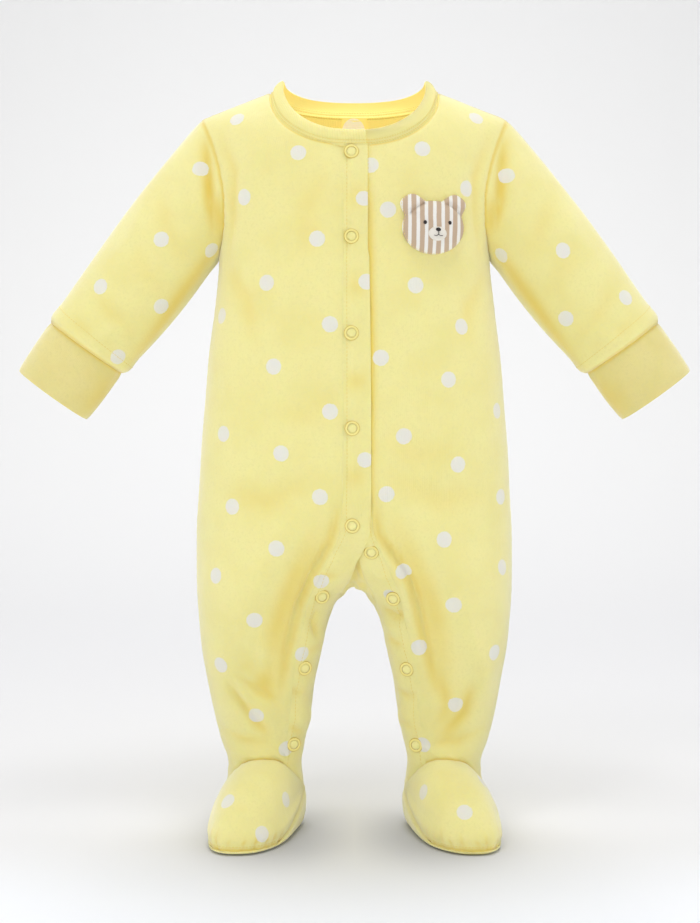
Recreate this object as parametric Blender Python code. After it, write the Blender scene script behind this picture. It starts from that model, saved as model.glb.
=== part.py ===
"""A footed baby sleepsuit, filled out as it is when worn, in metres with +Z up.

The origin is the middle of the neck opening, level with the neck points of the shoulders. The front
faces -Y and the wearer's left is at +X. Each cloth piece is a wall of its own, and tables give the
body's horizontal sections in millimetres from the origin.
"""

import math

import bmesh
import bpy
import numpy as np
from mathutils import Vector

MM = 0.001
NAME = "footed_baby_sleepsuit"

# Cloth, in millimetres
WALL = 1.6
BAND_WALL = 2.0
LABEL_WALL = 1.0
GAP = 0.3
LAYER = WALL + GAP

# Heights
FLOOR = -540.0
ARMPIT = -128.0
LEG_TOP = -382.0
CROTCH = -365.2
HEEL_SEAM = -514.0
INSTEP_SEAM = -486.0
INSTEP_POWER = 1.25
FOOT_SEAM_END = -512.0

# Neck and shoulders
NECK_HALF = 61.0
NECK_POINT = -9.0
NECK_FRONT = -52.0
NECK_BACK = -22.5
NECK_POWER = 2.2
SHOULDER_TIP = (110.0, -28.0)
SHOULDER_ROUND = 70.0
SHOULDER_POWER = 0.6
BAND_TOP_HALF = 51.4
BAND_TOP_FRONT = (-43.0, -41.6)
BAND_TOP_BACK = (36.0, -11.5)
BAND_ENDS = (-0.15, 0.13)
BAND_LAP_END = 0.28
BAND_LAP_FADE = 0.16
BAND_DRAWN_IN = 0.985
BAND_BOW = 0.6

# Half of the body's section at each height. The side is the outer half width, the centre is the middle
# of the section (0 for the body, the leg's own middle below the crotch), front and back are depths, and
# the seam and edges are the placket's, measured towards the side it belongs to.
BODY_COLUMNS = ("z", "side", "centre", "front", "back", "power", "seam_r", "seam_l", "edge_r", "edge_l")
BODY_ROWS = (
    (10, 134, 0, 44, 62, 2.3, 8, 9.5, -8.8, 3),
    (-30, 124, 0, 49, 58, 2.3, 8, 9.5, -8.8, 3),
    (-60, 113, 0, 52, 53, 2.3, 8, 9.5, -9, 3),
    (-90, 103.5, 0, 55, 51, 2.3, 8, 10, -9.5, 3),
    (-128, 97.5, 0, 58, 50, 2.3, 8, 10.5, -10, 3),
    (-163, 100.5, 0, 61, 51, 2.3, 8, 11, -10.5, 3),
    (-198, 105, 0, 63, 53, 2.3, 8, 11.3, -11, 3),
    (-232, 108, 0, 64, 56, 2.3, 8, 11.5, -11.2, 3),
    (-267, 111, 0, 64, 60, 2.3, 8, 11.6, -11.3, 3),
    (-300, 113, 1, 62, 63, 2.25, 8.5, 12, -11.3, 3),
    (-320, 114, 11, 60.5, 64, 2.2, 10, 13, -10.8, 2),
    (-329, 114.2, 21, 59.5, 64, 2.15, 13, 16, -7.8, 1),
    (-337, 114.3, 33, 58, 63, 2.1, 17, 19.5, -4.3, 2),
    (-350, 114.3, 47, 56.5, 60, 2.15, 23.5, 25, 2.2, 5.5),
    (-358, 114.2, 53, 55, 58, 2.2, 27, 28, 4.2, 8.5),
    (-366, 114, 57.3, 53, 56, 2.3, 30.5, 31, 7.5, 12),
    (-374, 113.6, 62, 51, 54, 2.4, 33.5, 33.5, 12, 14.5),
    (-382, 113, 64.5, 49, 52.5, 2.5, 35, 35, 16.6, 17),
    (-406, 111, 66.7, 44, 47, 2.6, 40, 40, 22.9, 22.9),
    (-432, 106.5, 67.2, 38, 41, 2.6, 44, 44, 28.4, 28.4),
    (-458, 101.5, 66.5, 32.5, 35, 2.5, 46.5, 46.5, 31.9, 31.9),
    (-476, 97, 66, 29.5, 31, 2.35, 49, 49, 35.4, 35.4),
    (-493, 92, 65, 28, 28, 2.2, 50, 50, 38.3, 38.3),
    (-505, 93, 65, 28, 30, 2.0, 51, 51, 37.3, 37.3),
    (-518, 95, 65, 28, 33, 2.0, 52, 52, 35.3, 35.3),
)

# The armhole seam seen from the front, from the armpit up to the shoulder tip
ARMHOLE_COLUMNS = ("part", "x", "z")
ARMHOLE_ROWS = (
    (0.0, 97.5, -128.0),
    (0.12, 95.2, -118.0),
    (0.28, 92.8, -104.0),
    (0.45, 92.6, -87.0),
    (0.63, 95.2, -69.0),
    (0.82, 100.6, -50.0),
    (0.94, 107.0, -34.0),
    (1.0, 110.0, -28.0),
)
ARM_CENTRE = (104.0, 0.0, -78.0)

# Sleeve and cuff: middle of each end, across in the plane of the front, and front to back
CUFF_SEAM = {"middle": (193.0, -3.0, -192.0), "turn": 36.0, "across": 65.4, "deep": 45.0}
CUFF_END = {"middle": (217.5, -4.0, -226.0), "turn": 36.0, "across": 60.7, "deep": 39.0}
SLEEVE_FULL = 3.0
CUFF_INSET = 1.5

# Foot: the sole's outline runs from the outer ankle round the toes to the inner ankle
TOE_REACH = 85.0
TOE_TURN = 16.5
BALL_SPREAD = 0.13
TOE_POWER = 2.45
TOE_SEAM = 3.0
TOE_RISE = 23.0
TOE_RISE_REACH = 64.0
TOE_RISE_POWER = 1.2
SOLE_COLUMNS = ("scale", "height")
SOLE_ROWS = ((1.0, 1.0), (1.015, 0.72), (1.0, 0.42), (0.95, 0.14), (0.87, 0.0), (0.5, 0.0), (0.0, 0.0))
SOLE_MIDDLE = -22.0
VAMP_ROUND = 0.8

# The crotch strip, from the middle of the crotch to the top of the leg
CROTCH_COLUMNS = ("back_x", "back_z", "front_x", "front_y", "front_z", "bow")
CROTCH_ROWS = (
    (0.0, -366.0, 0.0, -44.0, -337.5, 6.0),
    (3.0, -368.0, 3.5, -43.0, -340.5, 6.0),
    (7.0, -371.0, 8.0, -38.0, -350.0, 5.0),
    (11.0, -375.2, 13.0, -29.0, -362.0, 4.0),
    (14.6, -380.5, 17.2, -21.0, -373.0, 2.0),
)
STRIP_BACK = 8.0
STRIP_FRONT = -14.0
STRIP_LEG_TOP = -389.0
STRIP_BOW_FORWARD = 0.4
CROTCH_TURN = 14.0

# The plackets lie on each other down to here, and side by side below
LAP_END = -362.0
LAP_FADE = 16.0

# Snaps: height and distance from the middle line towards the side that the snap is on
SNAP_RADIUS = 4.3
SNAP_WIRE = 0.9
SNAP_COLUMNS = ("side", "x", "z")
SNAP_ROWS = (
    (-1, 2.2, -57.5),
    (-1, 2.2, -116.5),
    (-1, 2.2, -183.0),
    (-1, 1.6, -248.5),
    (-1, 1.6, -316.0),
    (1, 11.6, -335.0),
    (-1, 22.6, -367.5),
    (-1, 35.2, -420.0),
    (-1, 43.4, -476.5),
    (1, 27.0, -368.5),
    (1, 37.0, -420.5),
    (1, 44.0, -477.0),
)

# Padded patch on the wearer's left chest
PATCH_CENTRE = (54.0, -110.0)
PATCH_HALF = (21.5, 18.5)
PATCH_THICK = 9.0
EAR_RISE = 9.0
EAR_ANGLE = 43.0
EAR_WIDTH = 19.0
PATCH_ROWS = ((0.5, 0.0), (0.95, 0.0), (1.0, 0.35), (0.9, 0.78), (0.62, 0.97))

LABEL_HALF = 8.0
LABEL_TOP = -24.5
LABEL_LONG = 24.0

YELLOW = (0.90, 0.80, 0.33)
CUFF_YELLOW = (0.88, 0.78, 0.31)
SNAP_YELLOW = (0.80, 0.62, 0.17)
TICKING = (0.72, 0.62, 0.50)
LABEL_PALE = (0.86, 0.84, 0.66)


def table_columns(names, rows):
    return {name: np.array([row[i] for row in rows], float) for i, name in enumerate(names)}


BODY = table_columns(BODY_COLUMNS, BODY_ROWS)
ARMHOLE = table_columns(ARMHOLE_COLUMNS, ARMHOLE_ROWS)


def smooth_read(places, values, at):
    """A smooth curve through the values, flat where they turn, read at one place."""
    if places[0] > places[-1]:
        places, values = places[::-1], values[::-1]
    at = min(max(at, places[0]), places[-1])
    i = min(int(np.searchsorted(places, at, side="right")) - 1, len(places) - 2)
    slopes = np.diff(values) / np.diff(places)

    def tangent(k):
        if k == 0 or k == len(places) - 1:
            return slopes[min(k, len(slopes) - 1)]
        before, after = slopes[k - 1], slopes[k]
        return 0.0 if before * after <= 0 else 2 * before * after / (before + after)

    width = places[i + 1] - places[i]
    t = (at - places[i]) / width
    start, end = tangent(i) * width, tangent(i + 1) * width
    return (
        values[i] * (2 * t**3 - 3 * t**2 + 1)
        + start * (t**3 - 2 * t**2 + t)
        + values[i + 1] * (3 * t**2 - 2 * t**3)
        + end * (t**3 - t**2)
    )


def body(column, z):
    return smooth_read(BODY["z"], BODY[column], z)


def shoulder_height(x):
    """Height of the shoulder seam, or of its line carried on over the neck."""
    across = (abs(x) - NECK_HALF) / (SHOULDER_TIP[0] - NECK_HALF)
    fall = SHOULDER_TIP[1] - NECK_POINT
    return NECK_POINT + (fall * across if across > 0 else 0.0)


def depth_at(x, z, front):
    """How far the cloth stands in front of (-) or behind (+) the side seams."""
    x = abs(x)
    centre, side = body("centre", z), body("side", z)
    power = body("power", z)
    ratio = min(abs(x - centre) / (side - centre), 1.0)
    deep = body("front" if front else "back", z) * (1 - ratio**power) ** (1 / power)
    drop = min(max(shoulder_height(x) - z, 0.0) / SHOULDER_ROUND, 1.0)
    deep *= (1 - (1 - drop) ** 2) ** SHOULDER_POWER
    return -deep if front else deep


def angle_at(x, z):
    """Angle round the section, from the side seam (0) to the inner line of the leg (pi)."""
    centre, side = body("centre", z), body("side", z)
    ratio = min(max((x - centre) / (side - centre), -1.0), 1.0)
    return math.acos(math.copysign(abs(ratio) ** (body("power", z) / 2), ratio))


def section_point(angle, z, front):
    centre, side = body("centre", z), body("side", z)
    cosine = math.cos(angle)
    x = centre + (side - centre) * math.copysign(abs(cosine) ** (2 / body("power", z)), cosine)
    return np.array((x, depth_at(x, z, front), z))


def neck_height(x, front):
    ratio = min(abs(x) / NECK_HALF, 1.0)
    lowest = NECK_FRONT if front else NECK_BACK
    return NECK_POINT + (lowest - NECK_POINT) * (1 - ratio**NECK_POWER) ** (1 / NECK_POWER)


def armhole_xz(part):
    return np.array([smooth_read(ARMHOLE["part"], ARMHOLE[axis], part) for axis in ("x", "z")])


def armhole_point(part, front):
    x, z = armhole_xz(part)
    return np.array((x, depth_at(x, z, front), z))


def towards(point, target):
    way = np.asarray(target, float) - point
    return way / np.linalg.norm(way)


def unit_rows(vectors):
    return vectors / np.maximum(np.linalg.norm(vectors, axis=-1, keepdims=True), 1e-9)


def grid_normals(points, closed):
    """Unit normals of a grid, from its neighbours along each direction."""
    if closed:
        across = np.roll(points, -1, axis=1) - np.roll(points, 1, axis=1)
    else:
        across = np.gradient(points, axis=1)
    return unit_rows(np.cross(np.gradient(points, axis=0), across))


def spread(start, end, count):
    return [start + (end - start) * i / (count - 1) for i in range(count)]


def new_material(name, colour, roughness):
    material = bpy.data.materials.new(name)
    material.use_nodes = True
    shader = material.node_tree.nodes["Principled BSDF"]
    shader.inputs["Base Color"].default_value = (*colour, 1)
    shader.inputs["Roughness"].default_value = roughness
    shader.inputs["Metallic"].default_value = 0.0
    return material


def place(name, mesh, material, collection):
    thing = bpy.data.objects.new(name, mesh)
    thing.data.materials.append(material)
    collection.objects.link(thing)
    mesh.shade_smooth()
    mesh.set_sharp_from_angle(angle=math.radians(50))
    return thing


def wall_mesh(name, grids, wall, closed=False):
    """One closed wall from grids of (outer points, inward directions).

    Two mirrored grids are welded where their last columns meet on the middle plane.
    """
    mesh = bpy.data.meshes.new(name)
    shell = bmesh.new()
    for points, inward in grids:
        rows, columns = points.shape[:2]
        outer = [[shell.verts.new(p * MM) for p in row] for row in points]
        inner = [[shell.verts.new(p * MM) for p in row] for row in points + inward * wall]
        last = columns if closed else columns - 1
        for i in range(rows - 1):
            for j in range(last):
                k = (j + 1) % columns
                shell.faces.new((outer[i][j], outer[i + 1][j], outer[i + 1][k], outer[i][k]))
                shell.faces.new((inner[i][j], inner[i][k], inner[i + 1][k], inner[i + 1][j]))
        for j in range(last):
            k = (j + 1) % columns
            shell.faces.new((outer[0][j], outer[0][k], inner[0][k], inner[0][j]))
            shell.faces.new((outer[-1][k], outer[-1][j], inner[-1][j], inner[-1][k]))
        if closed:
            continue
        for i in range(rows - 1):
            shell.faces.new((outer[i + 1][0], outer[i][0], inner[i][0], inner[i + 1][0]))
            meets_other_half = len(grids) > 1 and max(abs(points[i : i + 2, -1, 0])) < GAP / 10
            if not meets_other_half:
                shell.faces.new((outer[i][-1], outer[i + 1][-1], inner[i + 1][-1], inner[i][-1]))
    bmesh.ops.remove_doubles(shell, verts=shell.verts[:], dist=GAP / 30 * MM)
    bmesh.ops.recalc_face_normals(shell, faces=shell.faces[:])
    shell.to_mesh(mesh)
    shell.free()
    return mesh


def mirrored(points, side):
    return points * np.array((side, 1.0, 1.0))


def inward_of(points, inside, closed=False):
    """Unit directions through the cloth, on the side of it that faces a point inside."""
    normals = grid_normals(points, closed)
    return normals if np.sum(normals * (np.array(inside) - points)) > 0 else -normals


BODY_HEIGHTS = (
    spread(ARMPIT, -300.0, 9)
    + [-311.0, -321.0, -329.0, -337.0, -344.0, -351.0, -358.0, CROTCH, -367.3, -370.5, -375.5, LEG_TOP]
    + spread(-394.0, -474.0, 6)
)
TOP_PARTS = (1.0, 0.97, 0.92, 0.84, 0.72, 0.55, 0.36, 0.18)
FOOT_PARTS = (0.34, 0.67, 1.0)
SLEEVE_PARTS = (0.0, 0.06, 0.2, 0.4, 0.6, 0.8, 0.94, 1.0)
CUFF_PARTS = (0.0, 0.35, 0.7, 1.0)
CUFF_COLUMNS = 20
BAND_COLUMNS = 48
TOE_COLUMNS = 17
VAMP_ROWS = 7
EAR_COLUMNS = 32
COLUMNS = 10
STRIP_COLUMNS = 4
SHOULDER_SHARE = 0.42
BODY_INSIDE = (60.0, 0.0, -250.0)
FOOT_INSIDE = (68.0, -20.0, -522.0)
SLEEVE_INSIDE = (150.0, -2.0, -135.0)
CUFF_INSIDE = (205.0, -3.0, -209.0)
NECK_INSIDE = (0.0, 0.0, -20.0)
BETWEEN_LEGS = (0.0, -14.0, -430.0)


def seam_x(side, z):
    return body("seam_r" if side < 0 else "seam_l", z)


def edge_x(side, z):
    return body("edge_r" if side < 0 else "edge_l", z)


def level_inward(angle, z, front):
    """Level direction square to the section, towards the inside of the body or the leg."""
    step = 0.02
    along = section_point(angle + step, z, front) - section_point(angle - step, z, front)
    square = unit_rows(np.array((-along[1], along[0], 0.0)))
    return square if square[1] * (1 if front else -1) > 0 else -square


def crotch_inward(point):
    """Direction through the cloth beside the crotch strip's back seam: up over the crotch, level below."""
    level = towards(point, (body("centre", point[2]), 0.0, point[2]))
    turned = min(max((CROTCH - point[2]) / CROTCH_TURN, 0.0), 1.0)
    return unit_rows(np.array((0.0, 0.0, 1.0 - turned)) + level * turned)


def back_end(z):
    """Where the back panel ends: on the middle line down to the crotch, then behind the inner leg."""
    if z >= CROTCH - GAP / 10:
        return angle_at(0.0, z)
    return math.pi - math.asin(STRIP_BACK / body("back", z))


def top_grid(front, x_end, end_angle):
    """The panel above the armpit, between the armhole, the shoulder, the neck and its middle edge."""
    steps = [j / (COLUMNS - 1) for j in range(COLUMNS)]
    low = np.array([section_point(end_angle * u, ARMPIT, front)[[0, 2]] for u in steps])
    high = []
    for u in steps:
        if u <= SHOULDER_SHARE:
            x = SHOULDER_TIP[0] + (NECK_HALF - SHOULDER_TIP[0]) * u / SHOULDER_SHARE
            high.append((x, shoulder_height(x)))
        else:
            turn = math.pi / 2 * (1 - u) / (1 - SHOULDER_SHARE)
            x = x_end + (NECK_HALF - x_end) * math.sin(turn) ** (2 / NECK_POWER)
            high.append((x, neck_height(x, front) - 2 * GAP))
    high = np.array(high)
    rows = []
    for t in TOP_PARTS:
        plain = low * (1 - t) + high * t
        row = plain + np.outer(1 - np.array(steps), armhole_xz(t) - plain[0])
        rows.append([(x, depth_at(x, z, front), z) for x, z in row])
    return rows


def instep_height(angle):
    """Height of the seam over the instep, which rises from both sides of the foot."""
    return FOOT_SEAM_END + (INSTEP_SEAM - FOOT_SEAM_END) * math.sin(angle) ** INSTEP_POWER


def keep_to_side(points, front):
    """Keeps a panel half a gap in front of, or behind, the side and shoulder seams."""
    y = points[..., 1]
    points[..., 1] = np.minimum(y, -GAP / 2) if front else np.maximum(y, GAP / 2)


def panel_grid(front, side):
    """Half a panel: outer points and inward directions, row by row from the shoulder down."""
    steps = [j / (COLUMNS - 1) for j in range(COLUMNS)]

    def end(z):
        return angle_at(seam_x(side, z) + GAP, z) if front else back_end(z)

    rows = top_grid(front, seam_x(side, ARMPIT) + GAP if front else 0.0, end(ARMPIT))
    for z in BODY_HEIGHTS:
        rows.append([section_point(end(z) * u, z, front) for u in steps])
    last = BODY_HEIGHTS[-1]
    for part in FOOT_PARTS:
        row = []
        for u in steps:
            angle = end(last) * u
            z = last + ((instep_height(angle) if front else HEEL_SEAM) + GAP - last) * part
            row.append(section_point(angle if front else end(z) * u, z, front))
        rows.append(row)
    points = np.array(rows)
    keep_to_side(points, front)
    inward = inward_of(points, BODY_INSIDE)
    top = len(TOP_PARTS)
    for i in range(top):
        inward[i, 0] = towards(points[i, 0], ARM_CENTRE)
    inward[0, points[0, :, 0] > NECK_HALF - WALL, 1] = 0.0
    inward[top:, 0, 1] = 0.0
    if front:
        for i in range(top, len(points)):
            z = points[i, -1, 2]
            inward[i, -1] = level_inward(end(max(z, last)), z, True)
    else:
        for i in range(len(points)):
            if points[i, -1, 0] < GAP / 10:
                inward[i, -1, 0] = 0.0
            if points[i, -1, 2] < CROTCH + GAP / 10:
                inward[i, -1] = crotch_inward(points[i, -1])
    return mirrored(points, side), mirrored(unit_rows(inward), side)


def placket_lift(side, x, z):
    """How far the placket stands off the body: the wearer's right one lies on the left one."""
    if side > 0:
        return 0.0
    across = min(max((seam_x(side, z) - x) / seam_x(side, z), 0.0), 1.0)
    along = min(max((z - LAP_END) / LAP_FADE, 0.0), 1.0)
    return LAYER * (3 * across**2 - 2 * across**3) * along


def placket_grid(side):
    rows = []
    steps = spread(0.0, 1.0, STRIP_COLUMNS)
    last = BODY_HEIGHTS[-1]
    for t in TOP_PARTS:
        row = []
        for w in steps:
            x = seam_x(side, ARMPIT) + (edge_x(side, -60.0) - seam_x(side, ARMPIT)) * w
            z = ARMPIT + (neck_height(x, True) - 2 * GAP - ARMPIT) * t
            row.append((x, depth_at(x, z, True), z))
        rows.append(row)
    for z in BODY_HEIGHTS[1:]:
        start, end = angle_at(seam_x(side, z), z), angle_at(edge_x(side, z), z)
        rows.append([section_point(start + (end - start) * w, z, True) for w in steps])
    start, end = angle_at(seam_x(side, last), last), angle_at(edge_x(side, last), last)
    for part in FOOT_PARTS:
        row = []
        for w in steps:
            angle = start + (end - start) * w
            row.append(section_point(angle, last + (instep_height(angle) + GAP - last) * part, True))
        rows.append(row)
    points = np.array(rows)
    inward = inward_of(points, BODY_INSIDE)
    for i in range(len(TOP_PARTS), len(points)):
        z = points[i, 0, 2]
        inward[i, 0] = level_inward(angle_at(seam_x(side, max(z, last)), max(z, last)), z, True)
    lift = np.array([[placket_lift(side, p[0], p[2]) for p in row] for row in points])
    return mirrored(points - inward * lift[..., None], side), mirrored(inward, side)


def inner_leg_row(low_part, z, steps):
    """One row across the crotch strip at a height of the leg, from behind the inner line to the front."""
    row = []
    for w in steps:
        y = STRIP_BACK - GAP + (STRIP_FRONT - STRIP_BACK + GAP) * w
        front = y < 0
        height = z
        if low_part is not None:
            angle = math.pi - math.asin(min(abs(y) / body("front", INSTEP_SEAM), 1.0))
            bottom = instep_height(angle) if front else HEEL_SEAM
            height = z + (bottom + 2 * GAP - z) * low_part
        deep, power = body("front" if front else "back", height), body("power", height)
        half = body("side", height) - body("centre", height)
        across = half * (1 - (abs(y) / deep) ** power) ** (1 / power)
        row.append((body("centre", height) - across, y, height))
    return row


def crotch_strip_grid():
    steps = spread(0.0, 1.0, 5)
    last = BODY_HEIGHTS[-1]
    half = [inner_leg_row(part, last, steps) for part in reversed(FOOT_PARTS)]
    half += [inner_leg_row(None, z, steps) for z in spread(last, STRIP_LEG_TOP, 7)]
    columns = table_columns(CROTCH_COLUMNS, CROTCH_ROWS)
    for i in reversed(range(len(CROTCH_ROWS))):
        back = np.array((columns["back_x"][i], STRIP_BACK - GAP, columns["back_z"][i]))
        front = np.array([columns[name][i] for name in ("front_x", "front_y", "front_z")])
        row = []
        for w in steps:
            bow = columns["bow"][i] * 4 * w * (1 - w)
            row.append(back + (front - back) * w - np.array((0.0, STRIP_BOW_FORWARD * bow, bow)))
        half.append(row)
    half = np.array(half)
    points = np.concatenate([half, mirrored(half[-2::-1], -1)])
    inward = -inward_of(points, BETWEEN_LEGS)
    for i in range(len(points)):
        right = math.copysign(1.0, points[i, 0, 0])
        inward[i, 0] = mirrored(crotch_inward(mirrored(points[i, 0], right)), right)
    sink = np.array([(LAYER + GAP) * min(2 * w, 1.0) for w in steps])
    return points + inward * sink[None, :, None], inward


def turned_ring(end, inset, angles):
    """A flat oval ring across the arm: angle 0 is on its upper edge and pi / 2 is at the front."""
    turn = math.radians(end["turn"])
    up = np.array((math.cos(turn), 0.0, math.sin(turn)))
    half_across, half_deep = end["across"] / 2 - inset, end["deep"] / 2 - inset
    middle = np.array(end["middle"])
    return np.array([middle + up * half_across * math.cos(a) - np.array((0, 1, 0)) * half_deep * math.sin(a)
                     for a in angles])


def arm_angles():
    parts = TOP_PARTS + (0.0,)
    return [math.pi * (1 - t) for t in parts] + [math.pi * (1 + t) for t in reversed(parts[1:-1])]


def arm_axis():
    turn = math.radians(CUFF_SEAM["turn"])
    return np.array((math.sin(turn), 0.0, -math.cos(turn)))


def sleeve_grid(side):
    parts = TOP_PARTS + (0.0,)
    hole = [armhole_point(t, True) for t in parts] + [armhole_point(t, False) for t in reversed(parts[1:-1])]
    hole = np.array(hole) + arm_axis() * GAP
    wrist = turned_ring(CUFF_SEAM, 0.0, arm_angles())
    away = unit_rows(wrist - np.array(CUFF_SEAM["middle"]))
    rows = [hole + (wrist - hole) * s + away * SLEEVE_FULL * math.sin(math.pi * s)
            for s in SLEEVE_PARTS]
    points = np.array(rows)
    inward = inward_of(points, SLEEVE_INSIDE, closed=True)
    for j in range(points.shape[1]):
        inward[0, j] = towards(hole[j], ARM_CENTRE)
    return mirrored(points, side), mirrored(inward, side)


def cuff_grid(side):
    angles = spread(0.0, 2 * math.pi, CUFF_COLUMNS + 1)[:-1]
    first = turned_ring(CUFF_SEAM, CUFF_INSET, angles) + arm_axis() * GAP
    last = turned_ring(CUFF_END, 0.0, angles)
    points = np.array([first + (last - first) * s for s in CUFF_PARTS])
    inward = inward_of(points, CUFF_INSIDE, closed=True)
    return mirrored(points, side), mirrored(inward, side)


def neckband_grid():
    """Rings from the neck seam up to the band's top, with the right end lying on the left end."""
    rows = []
    for angle in spread(BAND_ENDS[0], 2 * math.pi + BAND_ENDS[1], BAND_COLUMNS):
        sine, cosine = math.sin(angle), math.cos(angle)
        across = math.copysign(abs(sine) ** (2 / NECK_POWER), -sine)
        along = abs(cosine) ** (2 / NECK_POWER)
        front = cosine > 0
        seam_at = NECK_HALF * across
        low = np.array((seam_at, depth_at(seam_at, neck_height(seam_at, front), front), 0.0))
        low *= BAND_DRAWN_IN
        low[2] = neck_height(seam_at, front) + 2 * GAP
        deep, high = BAND_TOP_FRONT if front else BAND_TOP_BACK
        top = np.array((BAND_TOP_HALF * across, deep * along, high * along))
        lapped = min(max((BAND_LAP_END - angle) / BAND_LAP_FADE, 0.0), 1.0)
        on_top = lapped * (LAYER + BAND_WALL - WALL + GAP)
        out = np.array((across, -along if front else along, 0.0)) * on_top
        bowed = (low + top) / 2 + np.array((BAND_BOW * across, 0, 0))
        rows.append([low + out, bowed + out, top + out])
    points = np.array(rows)
    return points, inward_of(points, NECK_INSIDE)


def sole_rim(angle):
    """The sole's seam: 0 at the outer ankle, pi / 2 at the toes, pi at the inner ankle, then the heel."""
    if angle > math.pi:
        return section_point(2 * math.pi - angle, HEEL_SEAM, False)
    sine, cosine = math.sin(angle), math.cos(angle)
    half = body("side", HEEL_SEAM) - body("centre", HEEL_SEAM)
    along = sine ** (2 / TOE_POWER)
    across = half * (1 + BALL_SPREAD * sine) * math.copysign(abs(cosine) ** (2 / TOE_POWER), cosine)
    y = -TOE_REACH * along
    rise = TOE_RISE * max(1 + y / TOE_RISE_REACH, 0.0) ** TOE_RISE_POWER
    return np.array((body("centre", HEEL_SEAM) + TOE_TURN * along + across, y, FLOOR + TOE_SEAM + rise))


def sole_grid(side):
    rim = np.array([sole_rim(a) for a in spread(0.0, 2 * math.pi, 2 * TOE_COLUMNS - 1)[:-1]])
    middle = np.array((body("centre", HEEL_SEAM) + TOE_TURN / 2, SOLE_MIDDLE, FLOOR))
    rows = []
    for scale, height in SOLE_ROWS:
        rows.append(middle + (rim - middle) * np.array((scale, scale, height)))
    points = np.array(rows)
    inward = inward_of(points, FOOT_INSIDE, closed=True)
    inward[-2:] = (0.0, 0.0, 1.0)
    return mirrored(points, side), mirrored(inward, side)


def vamp_grid(side):
    """The foot's top, from the sole's seam up over the toes to the seam on the instep."""
    columns = []
    for angle in spread(0.0, math.pi, TOE_COLUMNS):
        low = sole_rim(angle) + np.array((0, 0, GAP))
        top = section_point(angle, instep_height(angle), True)
        column = []
        for v in spread(0.0, 1.0, VAMP_ROWS):
            along = VAMP_ROUND * (1 - math.cos(math.pi / 2 * v)) + (1 - VAMP_ROUND) * v
            up = VAMP_ROUND * math.sin(math.pi / 2 * v) + (1 - VAMP_ROUND) * v
            column.append(low + (top - low) * np.array((along, along, up)))
        columns.append(column)
    points = np.array(columns).transpose(1, 0, 2)
    keep_to_side(points, True)
    inward = inward_of(points, FOOT_INSIDE)
    return mirrored(points, side), mirrored(inward, side)


def label_grid():
    rows = []
    for drop in spread(0.0, LABEL_LONG, 4):
        z = LABEL_TOP - drop
        rows.append([(x, depth_at(x, z, False), z) for x in spread(-LABEL_HALF, LABEL_HALF, 4)])
    points = np.array(rows)
    inward = inward_of(points, BODY_INSIDE)
    return points + inward * (LAYER + 2 * GAP), inward


def patch_radius(angle):
    """Outline of the round head with two ears; angle 0 points up."""
    width, height = PATCH_HALF
    head = 1 / math.hypot(math.sin(angle) / width, math.cos(angle) / height)
    off = math.degrees(abs(angle)) - EAR_ANGLE
    return head + EAR_RISE * math.exp(-((off / EAR_WIDTH) ** 4))


def patch_mesh():
    """A closed pad whose back follows the panel, as rings from the back's middle to the front's."""
    x0, z0 = PATCH_CENTRE
    centre = np.array((x0, depth_at(x0, z0, True), z0))
    beside = np.array((x0 + 1, depth_at(x0 + 1, z0, True), z0)) - centre
    below = np.array((x0, depth_at(x0, z0 - 1, True), z0 - 1)) - centre
    out = -np.cross(beside, below)
    out = towards(np.zeros(3), out if out[1] < 0 else -out)
    mesh = bpy.data.meshes.new("bear_patch")
    pad = bmesh.new()
    rings = []
    for scale, height in PATCH_ROWS:
        ring = []
        for angle in spread(-math.pi, math.pi, EAR_COLUMNS + 1)[:-1]:
            reach = patch_radius(angle) * scale
            x, z = x0 + reach * math.sin(angle), z0 + reach * math.cos(angle)
            point = np.array((x, depth_at(x, z, True), z)) + out * (2 * GAP + PATCH_THICK * height)
            ring.append(pad.verts.new(point * MM))
        rings.append(ring)
    for low, high in zip(rings, rings[1:]):
        for j in range(len(low)):
            k = (j + 1) % len(low)
            pad.faces.new((low[j], low[k], high[k], high[j]))
    pad.faces.new(rings[0][::-1])
    pad.faces.new(rings[-1])
    bmesh.ops.triangulate(pad, faces=[f for f in pad.faces if len(f.verts) > 4])
    bmesh.ops.recalc_face_normals(pad, faces=pad.faces[:])
    pad.to_mesh(mesh)
    pad.free()
    return mesh


def snap_place(side, x, z):
    """Middle and outward direction of a snap on its placket."""
    def on_strip(x, z):
        point = np.array((x, depth_at(x, z, True), z))
        return point - np.array((0, placket_lift(side, x, z), 0))

    beside = on_strip(x + SNAP_RADIUS, z) - on_strip(x - SNAP_RADIUS, z)
    below = on_strip(x, z - SNAP_RADIUS) - on_strip(x, z + SNAP_RADIUS)
    out = unit_rows(np.cross(beside, below))
    out = out if out[1] < 0 else -out
    ends = [on_strip(x + i * SNAP_RADIUS, z + j * SNAP_RADIUS) for i, j in ((1, 0), (-1, 0), (0, 1), (0, -1))]
    highest = max(np.dot(p, out) for p in ends + [on_strip(x, z)])
    middle = on_strip(x, z)
    middle = middle + out * (highest - np.dot(middle, out) + SNAP_WIRE + 2 * GAP)
    return mirrored(middle, side), mirrored(out, side)


def make_snap(number, side, x, z, material, collection):
    middle, out = snap_place(side, x, z)
    bpy.ops.mesh.primitive_torus_add(
        location=middle * MM, major_radius=SNAP_RADIUS * MM, minor_radius=SNAP_WIRE * MM,
        major_segments=18, minor_segments=6)
    snap = bpy.context.object
    snap.rotation_euler = Vector(out).to_track_quat("Z", "Y").to_euler()
    snap.name = f"snap_{number}"
    snap.data.materials.append(material)
    for old in list(snap.users_collection):
        old.objects.unlink(snap)
    collection.objects.link(snap)
    snap.data.shade_smooth()


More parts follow.
